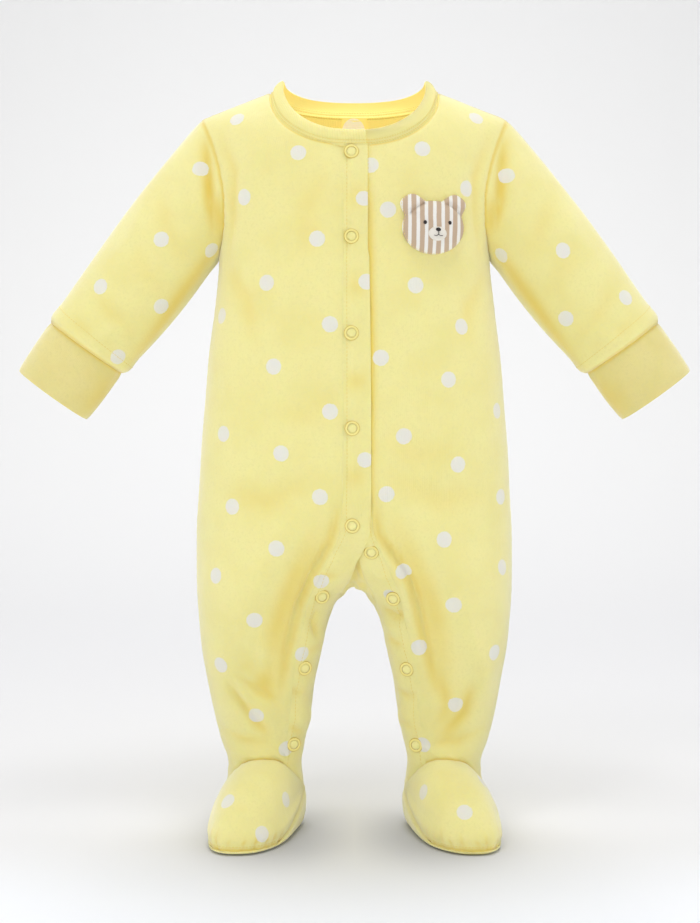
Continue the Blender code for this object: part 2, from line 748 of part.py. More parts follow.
def main():
    for thing in list(bpy.data.objects):
        bpy.data.objects.remove(thing)
    suit = bpy.data.collections.new(NAME)
    bpy.context.scene.collection.children.link(suit)

    yellow = new_material("dotted_jersey", YELLOW, 0.85)
    rib = new_material("plain_rib", CUFF_YELLOW, 0.85)
    paint = new_material("snap_paint", SNAP_YELLOW, 0.4)
    ticking = new_material("ticking", TICKING, 0.9)
    pale = new_material("label_cloth", LABEL_PALE, 0.8)

    def add_wall(name, grids, material, wall=WALL, closed=False):
        place(name, wall_mesh(name, grids, wall, closed), material, suit)

    add_wall("back", [panel_grid(False, 1), panel_grid(False, -1)], yellow)
    add_wall("crotch_strip", [crotch_strip_grid()], yellow)
    add_wall("neckband", [neckband_grid()], rib, BAND_WALL)
    add_wall("label", [label_grid()], pale, LABEL_WALL)
    for side, end in ((-1, "right"), (1, "left")):
        add_wall(f"front_{end}", [panel_grid(True, side)], yellow)
        add_wall(f"placket_{end}", [placket_grid(side)], yellow)
        add_wall(f"sleeve_{end}", [sleeve_grid(side)], yellow, closed=True)
        add_wall(f"cuff_{end}", [cuff_grid(side)], rib, closed=True)
        add_wall(f"foot_top_{end}", [vamp_grid(side)], yellow)
        add_wall(f"sole_{end}", [sole_grid(side)], yellow, closed=True)
    place("bear_patch", patch_mesh(), ticking, suit)
    for number, (side, x, z) in enumerate(SNAP_ROWS, 1):
        make_snap(number, side, x, z, paint, suit)


main()
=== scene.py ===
import math

import bmesh
import bpy
import numpy as np
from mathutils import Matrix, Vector


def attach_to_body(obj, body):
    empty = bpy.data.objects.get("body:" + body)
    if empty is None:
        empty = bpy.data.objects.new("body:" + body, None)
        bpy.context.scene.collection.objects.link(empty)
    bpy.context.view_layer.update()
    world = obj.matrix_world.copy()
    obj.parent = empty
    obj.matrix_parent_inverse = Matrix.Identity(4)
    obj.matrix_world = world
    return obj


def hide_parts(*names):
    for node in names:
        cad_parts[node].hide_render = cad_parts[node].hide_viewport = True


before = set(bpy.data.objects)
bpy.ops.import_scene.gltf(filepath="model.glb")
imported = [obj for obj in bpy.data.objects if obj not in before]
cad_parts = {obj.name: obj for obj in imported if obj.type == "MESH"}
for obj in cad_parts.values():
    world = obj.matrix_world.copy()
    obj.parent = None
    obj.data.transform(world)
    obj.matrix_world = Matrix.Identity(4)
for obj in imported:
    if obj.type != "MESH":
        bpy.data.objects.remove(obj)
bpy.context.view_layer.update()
mm = 0.001
print("frame loaded:", len(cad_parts), "nodes")

# sizes and places are in millimetres and turns in degrees, up to the stage; sides are the wearer's,
# and side is 1 for the left one, at +x, and -1 for the right one
# fullCrease and the inner and sewn values set how much painted shade lies in folds, on the inside faces and along
# sewn edges; glowAbove and innerGlow set a painted glow on the inside faces, stronger above that height
cloth = {"wall": 1.5, "bandWall": 2.0, "gap": 0.3, "layer": 1.9, "merge": 0.02, "fullCrease": 4.8,
         "innerShade": 0.55, "sewnShade": 0.85, "sewnWide": 1.1, "glowAbove": -90.0, "innerGlow": (1.0, 0.25),
         "noDots": 0.02}
heights = {"floor": -540.0, "armpit": -128.0, "crotch": -365.2, "heelSeam": -514.0,
           "instepSeam": -486.0, "footSeamEnd": -512.0, "legEnd": -474.0}
neck = {"half": 61.0, "point": -9.0, "front": -52.0, "back": -22.5, "power": 2.2,
        "topHalf": 51.4, "topFront": (-43.0, -41.6), "topBack": (36.0, -11.5), "overlap": (0.11, 0.13),
        "lap": (0.28, 0.16, 0.7), "tuckedIn": (0.985, 0.975, 1.6), "soften": 0.04}
shoulder = {"tip": (110.0, -28.0), "round": 70.0, "power": 0.6, "share": 0.42}
armCentre = np.array((104.0, 0.0, -78.0))
cuffSeam = {"middle": (193.0, -3.0, -192.0), "turn": 36.0, "across": 65.4, "deep": 45.0, "fullness": 3.0}
cuffEnd = {"middle": (217.5, -4.0, -226.0), "turn": 36.0, "across": 60.7, "deep": 39.0, "inset": 1.5}
foot = {"reach": 85.0, "turn": 16.5, "spread": 0.13, "power": 2.45, "seam": 3.0, "rise": 23.0,
        "riseReach": 64.0, "risePower": 1.2, "round": 0.8, "instepPower": 1.25, "soleMiddle": -22.0,
        "profile": ((1.0, 1.0), (1.015, 0.72), (1.0, 0.42), (0.95, 0.14), (0.87, 0.0), (0.5, 0.0), (0.0, 0.0))}
strip = {"back": 8.0, "front": -14.0, "partAt": -362.0, "partOver": 16.0, "forkEnd": -389.0, "straightEdge": -60.0}

# half of the body's section at each height, with how far out the strips' seams and free edges lie
bodyColumns = ("z", "side", "centre", "front", "back", "power", "seamR", "seamL", "edgeR", "edgeL")
bodyRows = (
    (10, 134, 0, 44, 62, 2.3, 8, 9.5, -8.8, 3),
    (-30, 124, 0, 49, 58, 2.3, 8, 9.5, -8.8, 3),
    (-60, 113, 0, 52, 53, 2.3, 8, 9.5, -9, 3),
    (-90, 103.5, 0, 55, 51, 2.3, 8, 10, -9.5, 3),
    (-128, 97.5, 0, 58, 50, 2.3, 8, 10.5, -10, 3),
    (-163, 100.5, 0, 61, 51, 2.3, 8, 11, -10.5, 3),
    (-198, 105, 0, 63, 53, 2.3, 8, 11.3, -11, 3),
    (-232, 108, 0, 64, 56, 2.3, 8, 11.5, -11.2, 3),
    (-267, 111, 0, 64, 60, 2.3, 8, 11.6, -11.3, 3),
    (-300, 113, 1, 62, 63, 2.25, 8.5, 12, -11.3, 3),
    (-320, 114, 11, 60.5, 64, 2.2, 10, 13, -10.8, 2),
    (-329, 114.2, 21, 59.5, 64, 2.15, 13, 16, -7.8, 1),
    (-337, 114.3, 33, 58, 63, 2.1, 17, 19.5, -4.3, 2),
    (-350, 114.3, 47, 56.5, 60, 2.15, 23.5, 25, 2.2, 5.5),
    (-358, 114.2, 53, 55, 58, 2.2, 27, 28, 4.2, 8.5),
    (-366, 114, 57.3, 53, 56, 2.3, 30.5, 31, 7.5, 12),
    (-374, 113.6, 62, 51, 54, 2.4, 33.5, 33.5, 12, 14.5),
    (-382, 113, 64.5, 49, 52.5, 2.5, 35, 35, 16.6, 17),
    (-406, 111, 66.7, 44, 47, 2.6, 40, 40, 22.9, 22.9),
    (-432, 106.5, 67.2, 38, 41, 2.6, 44, 44, 28.4, 28.4),
    (-458, 101.5, 66.5, 32.5, 35, 2.5, 46.5, 46.5, 31.9, 31.9),
    (-476, 97, 66, 29.5, 31, 2.35, 49, 49, 35.4, 35.4),
    (-493, 92, 65, 28, 28, 2.2, 50, 50, 38.3, 38.3),
    (-505, 93, 65, 28, 30, 2.0, 51, 51, 37.3, 37.3),
    (-518, 95, 65, 28, 33, 2.0, 52, 52, 35.3, 35.3),
)
# the armhole from the underarm (0) to the shoulder's tip (1), as part, x and z
armholeRows = ((0.0, 97.5, -128.0), (0.12, 95.2, -118.0), (0.28, 92.8, -104.0), (0.45, 92.6, -87.0),
               (0.63, 95.2, -69.0), (0.82, 100.6, -50.0), (0.94, 107.0, -34.0), (1.0, 110.0, -28.0))
# the gusset's back and front edges, from the middle out to where the inner leg starts
crotchColumns = ("backX", "backZ", "frontX", "frontY", "frontZ", "bow")
crotchRows = (
    (0.0, -366.0, 0.0, -44.0, -337.5, 6.0),
    (3.0, -368.0, 3.5, -43.0, -340.5, 6.0),
    (7.0, -371.0, 8.0, -38.0, -350.0, 5.0),
    (11.0, -375.2, 13.0, -29.0, -362.0, 4.0),
    (14.6, -380.5, 17.2, -21.0, -373.0, 2.0),
)
# places inside the body and the foot, which tell a wall's inside from its outside
bodyInside = (60.0, 0.0, -250.0)
footInside = (68.0, -20.0, -522.0)


def smoothRead(places, values, at):
    # a smooth curve through the values, flat where they turn
    places, values = np.asarray(places, float), np.asarray(values, float)
    if places[0] > places[-1]:
        places, values = places[::-1], values[::-1]
    at = np.clip(at, places[0], places[-1])
    slopes = np.diff(values) / np.diff(places)
    tangents = np.empty(len(places))
    tangents[0], tangents[-1] = slopes[0], slopes[-1]
    before, after = slopes[:-1], slopes[1:]
    same = before * after > 0
    total = np.where(same, before + after, 1.0)
    tangents[1:-1] = np.where(same, 2 * before * after / total, 0.0)
    i = np.clip(np.searchsorted(places, at, side="right") - 1, 0, len(places) - 2)
    width = places[i + 1] - places[i]
    t = (at - places[i]) / width
    return (values[i] * (2 * t**3 - 3 * t**2 + 1) + tangents[i] * width * (t**3 - 2 * t**2 + t)
            + values[i + 1] * (3 * t**2 - 2 * t**3) + tangents[i + 1] * width * (t**3 - t**2))


bodyTable = {name: np.array([row[i] for row in bodyRows], float) for i, name in enumerate(bodyColumns)}
armParts, armX, armZ = (np.array(column) for column in zip(*armholeRows))


def body(column, z):
    return smoothRead(bodyTable["z"], bodyTable[column], z)


def unit(v):
    return v / np.maximum(np.linalg.norm(v, axis=-1, keepdims=True), 1e-9)


def stack(x, y, z):
    return np.stack(np.broadcast_arrays(np.asarray(x, float), y, z), axis=-1)


def shoulderHeight(x):
    across = (np.abs(x) - neck["half"]) / (shoulder["tip"][0] - neck["half"])
    return neck["point"] + (shoulder["tip"][1] - neck["point"]) * np.maximum(across, 0.0)


def depthAt(x, z, front):
    # how far the cloth stands in front of (-) or behind (+) the side seams
    x = np.abs(x)
    centre, side, power = body("centre", z), body("side", z), body("power", z)
    ratio = np.minimum(np.abs(x - centre) / (side - centre), 1.0)
    deep = body("front" if front else "back", z) * (1 - ratio**power) ** (1 / power)
    drop = np.clip((shoulderHeight(x) - z) / shoulder["round"], 0.0, 1.0)
    deep = deep * (1 - (1 - drop) ** 2) ** shoulder["power"]
    return -deep if front else deep


def angleAt(x, z):
    # angle round the section: 0 at the side seam, pi at the inner line of the leg
    centre, side = body("centre", z), body("side", z)
    ratio = np.clip((x - centre) / (side - centre), -1.0, 1.0)
    return np.arccos(np.sign(ratio) * np.abs(ratio) ** (body("power", z) / 2))


def sectionPoint(angle, z, front):
    centre, side = body("centre", z), body("side", z)
    cosine = np.cos(angle)
    x = centre + (side - centre) * np.sign(cosine) * np.abs(cosine) ** (2 / body("power", z))
    return stack(x, depthAt(x, z, front), z)


def neckHeight(x, front):
    ratio = np.minimum(np.abs(x) / neck["half"], 1.0)
    lowest = neck["front"] if front else neck["back"]
    return neck["point"] + (lowest - neck["point"]) * (1 - ratio ** neck["power"]) ** (1 / neck["power"])


def armholePoint(part, front):
    x, z = smoothRead(armParts, armX, part), smoothRead(armParts, armZ, part)
    return stack(x, depthAt(x, z, front), z)


def instepHeight(angle):
    # the seam round the top of the foot, highest over the instep
    rise = np.maximum(np.sin(angle), 0.0) ** foot["instepPower"]
    return heights["footSeamEnd"] + (heights["instepSeam"] - heights["footSeamEnd"]) * rise


def mirrored(points, side):
    return np.asarray(points) * np.array((side, 1.0, 1.0))


def sideName(side):
    return "left" if side > 0 else "right"


def toScene(name, data):
    thing = bpy.data.objects.new(name, data)
    bpy.context.scene.collection.objects.link(thing)
    return thing


def hill(distance, wide, middle=0.0):
    # 1 in the middle, dying away on both sides
    return np.exp(-((distance - middle) / wide) ** 2)


def gridNormals(points, closed=False):
    if closed:
        across = np.roll(points, -1, axis=1) - np.roll(points, 1, axis=1)
    else:
        across = np.gradient(points, axis=1)
    return unit(np.cross(np.gradient(points, axis=0), across))


def outwardOf(points, inside, closed=False):
    normals = gridNormals(points, closed)
    return -normals if np.sum(normals * (np.array(inside) - points)) > 0 else normals


# firm deepens every fold, narrow draws it in, and ends and taper say how it dies away along its line
foldLook = {"firm": 1.25, "narrow": 0.88, "ends": 0.05, "taper": 0.8}


def fold(points, way, wide, deep, firm=foldLook["firm"]):
    # offset along the normal for one fold: a soft line through the places in `way`, fading at its ends
    way = np.array(way, float)
    best = np.full(points.shape[:-1], 1e9)
    along = np.zeros(points.shape[:-1])
    lengths = np.linalg.norm(np.diff(way, axis=0), axis=1)
    total, start = lengths.sum(), 0.0
    for a, b, length in zip(way, way[1:], lengths):
        t = np.clip(((points - a) @ (b - a)) / length**2, 0, 1)
        away = np.linalg.norm(points - (a + t[..., None] * (b - a)), axis=-1)
        nearer = away < best
        best = np.where(nearer, away, best)
        along = np.where(nearer, (start + t * length) / total, along)
        start += length
    ends = foldLook["ends"]
    taper = np.sin(np.pi * np.clip(along * (1 - 2 * ends) + ends, 0, 1)) ** foldLook["taper"]
    return firm * deep * taper * hill(best / wide, foldLook["narrow"])


def foldAll(points, ways):
    total = np.zeros(points.shape[:-1])
    for way, wide, deep in ways:
        total += fold(points, way, wide, deep)
    return total


def softSwell(points, deep, size, seed):
    # slow uneven waviness of cloth, as a sum of a few sines set by a fixed seed
    rng = np.random.default_rng(seed)
    total = np.zeros(points.shape[:-1])
    for _ in range(7):
        way = unit(rng.normal(size=3)) * (2 * np.pi / (size * rng.uniform(0.7, 1.6)))
        total += np.sin(points @ way + rng.uniform(0, 2 * np.pi))
    return total * deep / 7


def runs(points, axis):
    # length along a grid's rows (axis 1) or columns (axis 0), from the first
    steps = np.linalg.norm(np.diff(points, axis=axis), axis=-1)
    first = np.zeros_like(np.take(points[..., 0], [0], axis=axis))
    return np.concatenate([first, np.cumsum(steps, axis=axis)], axis=axis)


class Wires:
    # short ways to add and join the nodes of one material
    def __init__(self, tree):
        self.nodes, self.links = tree.nodes, tree.links

    def feed(self, socket, value):
        # a socket takes a plain value or another node's output
        if isinstance(value, bpy.types.NodeSocket):
            self.links.new(value, socket)
        else:
            socket.default_value = (*value, 1) if socket.type == "RGBA" else value

    def fill(self, made, **values):
        for key, value in values.items():
            if hasattr(made, key):
                setattr(made, key, value)
            else:
                self.feed(made.inputs[key.replace("_", " ")], value)
        return made

    def add(self, kind, **values):
        return self.fill(self.nodes.new(kind), **values)

    def place(self):
        return self.add("ShaderNodeTexCoord").outputs["Object"]

    def clothMap(self):
        return self.add("ShaderNodeUVMap", uv_map="cloth").outputs["UV"]

    def field(self, name):
        return self.add("ShaderNodeAttribute", attribute_name=name).outputs["Fac"]

    def axes(self, vector):
        return tuple(self.add("ShaderNodeSeparateXYZ", Vector=vector).outputs)

    def noise(self, vector, scale, detail, **values):
        return self.add("ShaderNodeTexNoise", Vector=vector, Scale=scale, Detail=detail, **values).outputs[0]

    def math(self, operation, *values):
        made = self.add("ShaderNodeMath", operation=operation)
        for socket, value in zip(made.inputs, values):
            self.feed(socket, value)
        return made.outputs[0]

    def length(self, a, b, share=1.0):
        # the length of (a, b), where b counts by its share
        square = self.math("MULTIPLY", self.math("MULTIPLY", b, b), share)
        return self.math("SQRT", self.math("ADD", self.math("MULTIPLY", a, a), square))

    def ramp(self, value, low, high):
        # 0 at low, 1 at high, and soft at both
        made = self.add("ShaderNodeMapRange", interpolation_type="SMOOTHSTEP", Value=value, From_Min=low,
                        From_Max=high)
        return made.outputs["Result"]

    def mix(self, factor, a, b):
        made = self.add("ShaderNodeMix", data_type="RGBA")
        for number, value in ((0, factor), (6, a), (7, b)):
            self.feed(made.inputs[number], value)
        return made.outputs[2]

    def bump(self, shader, height, distance):
        made = self.add("ShaderNodeBump", Distance=distance, Strength=1.0, Height=height)
        self.fill(shader, Normal=made.outputs["Normal"])


def newMaterial(name, colour, rough, sheen=0.0):
    material = bpy.data.materials.new(name)
    material.use_nodes = True
    wires = Wires(material.node_tree)
    shader = wires.fill(wires.nodes["Principled BSDF"], Base_Color=colour, Roughness=rough, Specular_IOR_Level=0.25,
                        Sheen_Weight=sheen, Sheen_Roughness=0.45, Sheen_Tint=(1.0, 0.97, 0.82))
    return material, wires, shader


# deep is the colour of painted shade; cuff is darker than cloth, as painted shade on the cuffs; in glow, weight,
# scale and radius are a real subsurface, and through and share the colour and strength of a painted glow
lemon = {"cloth": (0.89, 0.83, 0.36), "deep": (0.83, 0.64, 0.12), "dot": (0.82, 0.81, 0.73),
         "rib": (0.88, 0.81, 0.34), "cuff": (0.81, 0.72, 0.30), "thread": (0.84, 0.68, 0.19)}
glow = {"weight": 0.3, "scale": 0.0012, "radius": (1.0, 0.72, 0.22), "through": (1.0, 0.9, 0.34), "share": 0.36}
# noise scales are per metre, stitch sizes and bump depths in metres, and ranges are where a pattern fades in
knit = {"rough": 0.85, "sheen": 0.95, "cloud": 38.0, "cloudTint": (0.965, 0.95, 0.87), "cloudRange": (0.35, 0.75),
        "grain": 520.0, "grainTint": 0.945, "grainRange": (0.46, 0.72), "fuzz": 900.0, "fuzzDeep": 1.6,
        "wale": 0.0011, "course": 0.0009, "lean": 2.2, "crumple": 70.0, "crumpleDeep": 13.0,
        "crumpleStretch": (1.0, 1.0, 0.4), "bump": 0.00005}
ink = {"ragged": 0.0008, "soft": 0.00032, "thin": 0.68, "full": 0.3, "wornRange": (0.12, 0.42)}
rib = {"sheen": 0.25, "pitch": 0.0019, "bump": 0.00008, "shade": 0.06}


def paintedShadeMix(wires, colour):
    # painted shade: the colour turns deeper where the crease field is high, standing in for light bounced between
    # folds of yellow cloth
    return wires.mix(wires.field("crease"), colour, lemon["deep"])


def subsurfaceAndPaintedGlow(wires, shader):
    # thin cloth lets light through by subsurface, and the inside field drives an emission: a warm painted glow that
    # lifts the cloth's shaded inside
    wires.fill(shader, Subsurface_Weight=glow["weight"], Subsurface_Scale=glow["scale"],
               Subsurface_Radius=glow["radius"], Emission_Color=glow["through"],
               Emission_Strength=wires.math("MULTIPLY", wires.field("inside"), glow["share"]))


def knitHeight(wires):
    # columns of knit loops along v of the cloth's own map
    u, v, _ = wires.axes(wires.clothMap())
    across = wires.math("SINE", wires.math("MULTIPLY", u, 2 * math.pi / knit["wale"]))
    lean = wires.math("MULTIPLY", wires.math("ABSOLUTE", across), knit["lean"])
    down = wires.math("MULTIPLY", v, 2 * math.pi / knit["course"])
    loops = wires.math("SINE", wires.math("ADD", down, lean))
    return wires.math("ADD", wires.math("MULTIPLY", across, 0.6), wires.math("MULTIPLY", loops, 0.4))


def printedOver(wires, colour, fuzz):
    # the dots' ink: a ragged edge, and thin where the knit is fuzzy
    ragged = wires.math("MULTIPLY_ADD", fuzz, ink["ragged"], -ink["ragged"] / 2)
    mask = wires.ramp(wires.math("ADD", ragged, wires.field("dotAway")), ink["soft"], -ink["soft"])
    worn = wires.math("MULTIPLY", mask, wires.ramp(fuzz, *ink["wornRange"]))
    worn = wires.math("MULTIPLY_ADD", worn, ink["full"], wires.math("MULTIPLY", mask, ink["thin"]))
    return wires.mix(worn, colour, lemon["dot"])


def makeJersey(name, printed, base=lemon["cloth"]):
    material, wires, shader = newMaterial(name, base, knit["rough"], knit["sheen"])
    subsurfaceAndPaintedGlow(wires, shader)
    place = wires.place()
    fuzz = wires.noise(place, knit["fuzz"], 2.0)
    cloud = wires.ramp(wires.noise(place, knit["cloud"], 3.0), *knit["cloudRange"])
    colour = wires.mix(cloud, base, tuple(share * v for share, v in zip(knit["cloudTint"], base)))
    grain = wires.ramp(wires.noise(place, knit["grain"], 4.0, Roughness=0.7), *knit["grainRange"])
    # painted shade where the crease field is high
    colour = paintedShadeMix(wires, wires.mix(grain, colour, tuple(knit["grainTint"] * v for v in base)))
    if printed:
        colour = printedOver(wires, colour, fuzz)
    wires.fill(shader, Base_Color=colour)
    slow = wires.add("ShaderNodeMapping", Vector=place, Scale=knit["crumpleStretch"]).outputs[0]
    crumple = wires.noise(slow, knit["crumple"], 4.0, Roughness=0.6, Distortion=0.6)
    height = wires.math("MULTIPLY_ADD", fuzz, knit["fuzzDeep"], knitHeight(wires))
    wires.bump(shader, wires.math("MULTIPLY_ADD", crumple, knit["crumpleDeep"], height), knit["bump"])
    return material


def makeRib(name):
    material, wires, shader = newMaterial(name, lemon["rib"], knit["rough"], rib["sheen"])
    subsurfaceAndPaintedGlow(wires, shader)
    wave = wires.math("SINE", wires.math("MULTIPLY", wires.axes(wires.clothMap())[0], 2 * math.pi / rib["pitch"]))
    # the rib's valleys take painted shade
    low = wires.math("MULTIPLY", wires.ramp(wave, 0.0, -0.9), rib["shade"])
    wires.fill(shader, Base_Color=paintedShadeMix(wires, wires.mix(low, lemon["rib"], lemon["deep"])))
    wires.bump(shader, wave, rib["bump"])
    return material


jersey = makeJersey("dotted jersey", True)
plainJersey = makeJersey("plain jersey", False)
# the cuffs' cloth is darker than the body's, as painted shade
cuffJersey = makeJersey("cuff jersey", False, lemon["cuff"])
neckRib = makeRib("neck rib")
thread = newMaterial("thread", lemon["thread"], 0.6, 0.2)[0]
print("materials made")


def onFront(*places):
    return [(x, float(depthAt(x, z, True)), z) for x, z in places]


def onBack(*places):
    return [(x, float(depthAt(x, z, False)), z) for x, z in places]


def onFrontAll(rows):
    # each row is places on the front, then a width and a depth
    return [(onFront(*way), wide, deep) for *way, wide, deep in rows]


# middles of the printed dots as (across, height), and on a sleeve as (along the arm, across it)
dotRadius = 5.65
frontDots = (
    (-83, -31), (-39, -58), (-77, -88), (-26, -118), (-61, -148), (-94, -170), (-17, -177), (-56, -206),
    (-17, -237), (-92, -253), (-51, -266), (-24, -296), (-86, -304), (-54, -332), (-98, -353), (-23, -356),
    (-70, -383), (-95, -417), (-37, -409), (-70, -454), (-49, -479),
    (86, -30), (47, -55), (11, -67), (23, -98), (78, -82), (108, -68), (42, -150), (75, -178), (18, -200),
    (65, -215), (34, -254), (101, -237), (72, -274), (22, -294), (104, -298), (62, -326), (105, -348), (34, -349),
    (69, -372), (25, -367), (45, -404), (99, -408), (72, -446), (49, -476),
)
overStripDots = ((6, -91), (8, -148), (7, -270), (-37, -409), (-23, -356), (-49, -479))
underStripDots = ((11, -67), (25, -367), (34, -349), (49, -476))
sleeveDots = {-1: ((-8, 11), (49, 4), (103, 20), (89, -24), (136, -19), (35, -29)),
              1: ((-5, 7), (63, 7), (39, -29), (103, -18), (117, 26))}
lattice = {"across": 41.0 * 0.82, "down": 62.0, "columns": 4, "rows": 9, "top": -40.0, "low": -505.0,
           "clear": (8, 12, 4, 9), "sideHeights": (-150, -212, -285, -330, -392, -440), "sideTurns": (0.2, 0.34)}


def latticeDots():
    # half-drop rows on the back and the sides, clear of the shoulder, the sides, the fork and the inner legs
    byShoulder, bySide, byFork, byInner = lattice["clear"]
    found = []
    for column in range(-lattice["columns"], lattice["columns"] + 1):
        x = column * lattice["across"]
        for row in range(lattice["rows"]):
            z = lattice["top"] - lattice["down"] / 2 * (column % 2) - lattice["down"] * row
            side = float(body("side", z))
            inner = float(2 * body("centre", z)) - side
            hidden = z > shoulderHeight(x) - byShoulder or z < lattice["low"] or abs(x) > side - bySide
            if not hidden and (z >= heights["crotch"] - byFork or abs(x) >= inner + byInner):
                found += onBack((x, z))
    for side in (-1, 1):
        for row, z in enumerate(lattice["sideHeights"]):
            found.append(tuple(mirrored(sectionPoint(lattice["sideTurns"][row % 2], float(z), False), side)))
    return found


def armAxes(turn):
    turn = math.radians(turn)
    return np.array((math.sin(turn), 0.0, -math.cos(turn))), np.array((math.cos(turn), 0.0, math.sin(turn)))


def armFrame(along, across):
    axis, up = armAxes(cuffSeam["turn"])
    return armCentre + axis * along + up * across


stripPlaces = {-1: np.array(onFront(*overStripDots)), 1: np.array(onFront(*underStripDots))}
dotPlaces = np.array(onFront(*frontDots) + latticeDots())
noDots = np.zeros((0, 3))


def onGrid(points, x, z, front=True):
    # the grid point nearest to a place seen from the front or the back
    away = np.hypot(points[..., 0] - x, points[..., 2] - z)
    away = away + np.where((points[..., 1] < -2) == front, 0.0, 1e3)
    return points.reshape(-1, 3)[int(np.argmin(away))]


def dotField(points, places):
    away = np.full(points.shape[:-1], 1e3)
    for place in places:
        away = np.minimum(away, np.linalg.norm(points - place, axis=-1))
    return away - dotRadius


# folds of the body: places of (across, height), then width and depth; troughs are negative
frontFolds = [
    # beside the crotch, where the legs pull away from the strips
    ((-11, -304), (-16, -326), (-29, -351), (-38, -373), (-47, -406), (-51, -432), 4.2, -4.4),
    ((-22, -318), (-38, -346), (-50, -376), (-58, -408), (-60, -436), 11, -2.6),
    ((25, -312), (40, -338), (54, -372), (60, -404), (63, -432), 11, -2.2),
    ((-42, -310), (-62, -342), (-78, -382), (-84, -416), 11, 1.8),
    ((13, -302), (16, -322), (29, -340), (39, -358), (45, -382), (51, -407), (56, -434), 4.2, -4.2),
    ((46, -308), (66, -342), (80, -384), (84, -420), 11, 1.6),
    ((-18, -338), (-30, -362), (-38, -386), 3.5, 1.1),
    ((22, -336), (33, -360), (38, -388), 3.5, 1.0),
    ((-60, -402), (-74, -428), (-84, -446), 8, 1.8),
    ((-88, -432), (-78, -450), (-62, -468), 5, -3.4),
    ((-84, -424), (-68, -436), (-56, -442), 3.6, -2.6),
    ((-78, -412), (-68, -427), (-58, -438), 9, -2.6),
    ((-86, -446), (-72, -458), 5, 1.6),
    ((60, -424), (66, -446), (60, -462), 6, -2.2),
    ((84, -430), (78, -452), (62, -472), 6, -3.0),
    ((84, -398), (94, -420), (92, -440), 8, 1.6),
    ((-98, -462), (-80, -472), (-60, -474), 4.5, -1.6),
    ((92, -464), (74, -473), (56, -475), 4.5, -1.6),
    ((-90, -480), (-70, -485), (-54, -482), 4, 1.4),
    ((88, -480), (70, -486), (56, -481), 4, 1.4),
    # soft upright folds from the shoulders and at the armholes
    ((-96, -38), (-84, -70), (-85, -100), (-88, -126), 5.5, -1.6),
    ((96, -40), (84, -74), (85, -102), (88, -128), 5.5, -1.6),
    ((-72, -30), (-68, -62), (-72, -96), 9, 1.3),
    ((74, -32), (70, -62), (73, -98), 9, 1.2),
    ((-90, -134), (-76, -158), (-70, -186), 8, -1.5),
    ((92, -138), (80, -164), (76, -190), 8, -1.4),
    # slow swags over the tummy
    ((-20, -70), (-34, -96), (-30, -130), 11, -1.0),
    ((-8, -226), (-34, -240), (-58, -236), 10, -0.9),
    ((18, -252), (44, -268), (70, -262), 11, -0.9),
    ((-30, -286), (-62, -300), (-92, -292), 12, -1.3),
    ((24, -282), (58, -300), (92, -294), 12, -1.2),
]
# across the seat, down the legs and between the shoulders
backFolds = [
    ((-70, -296), (-30, -318), (10, -316), (48, -300), 9, -3.0),
    ((-52, -326), (-20, -344), (4, -352), 7, -3.2),
    ((60, -322), (26, -342), (4, -356), 7, -3.0),
    ((-84, -352), (-58, -374), (-38, -386), 8, -2.8),
    ((86, -348), (60, -376), (40, -384), 8, -2.7),
    ((-88, -408), (-66, -424), (-46, -420), 6, -2.2),
    ((86, -414), (68, -432), (50, -428), 6, -2.3),
    ((-84, -446), (-66, -458), (-50, -452), 5, -2.0),
    ((84, -450), (68, -462), (48, -458), 5, -1.9),
    ((-40, -70), (-46, -112), (-40, -160), 10, -1.8),
    ((38, -64), (44, -108), (40, -150), 10, -1.7),
    ((-84, -60), (-78, -104), (-84, -140), 8, -2.0),
    ((84, -62), (78, -100), (84, -142), 8, -1.9),
    ((-64, -190), (-14, -208), (34, -200), 12, -1.6),
    ((70, -236), (26, -250), (-24, -242), 12, -1.5),
]
folds = onFrontAll(frontFolds) + [(onBack(*way), wide, deep) for *way, wide, deep in backFolds]


# folds of a sleeve: places of (along the arm, across it), then width and depth
sleeveFolds = {
    "front": (((-27, 24), (-11, 9), (9, -9), (25, -25), 5, -4.2), ((-6, 22), (10, 6), (28, -12), 7, 1.0),
              ((22, 26), (40, 6), (52, -20), 8, -1.0), ((58, 26), (72, 4), (84, -24), 9, -0.8),
              ((104, 24), (114, 2), (118, -26), 7, -1.1), ((130, 20), (133, 4), (131, -12), 4, -1.3),
              ((118, -8), (132, -2), (139, 8), 5, 1.5), ((40, 30), (58, 22), (80, 24), 8, 1.3)),
    "back": (((10, 26), (30, 4), (40, -20), 7, -2.2), ((48, 22), (62, 0), (78, -18), 8, -1.9),
             ((92, 26), (104, 4), (120, -14), 7, -1.9))}


# how many rows or columns each grid has
fine = {"across": 64, "body": 136, "top": 44, "foot": 12, "strip": 14, "arm": 40, "sleeve": 58, "cuff": 20,
        "wrist": 72, "neck": (24, 260), "sole": 128, "soleWall": 17, "soleFlat": 22, "vamp": 30, "gusset": 22,
        "gussetFoot": 9, "gussetLeg": 33, "gussetFork": 17}


def edgeWay(points, name):
    # distance of every grid point from one edge, in mm
    if name in ("first", "last"):
        run = runs(points, 1)
        return run if name == "first" else run[:, -1:] - run
    run = runs(points, 0)
    return run if name == "top" else run[-1:] - run


# dip is how deep cloth turns in at a seam, and the puckers beside it are shallower at a piece's top;
# a swell, here and on the pieces below, is slow unevenness: depth, size and seed
seamLook = {"dip": 0.7, "flatDip": 0.15, "dipWide": 2.2, "pucker": 0.22, "topPucker": 0.04, "puckerWide": 7.0,
            "puckerWay": (0.71, 0.35, 0.83)}


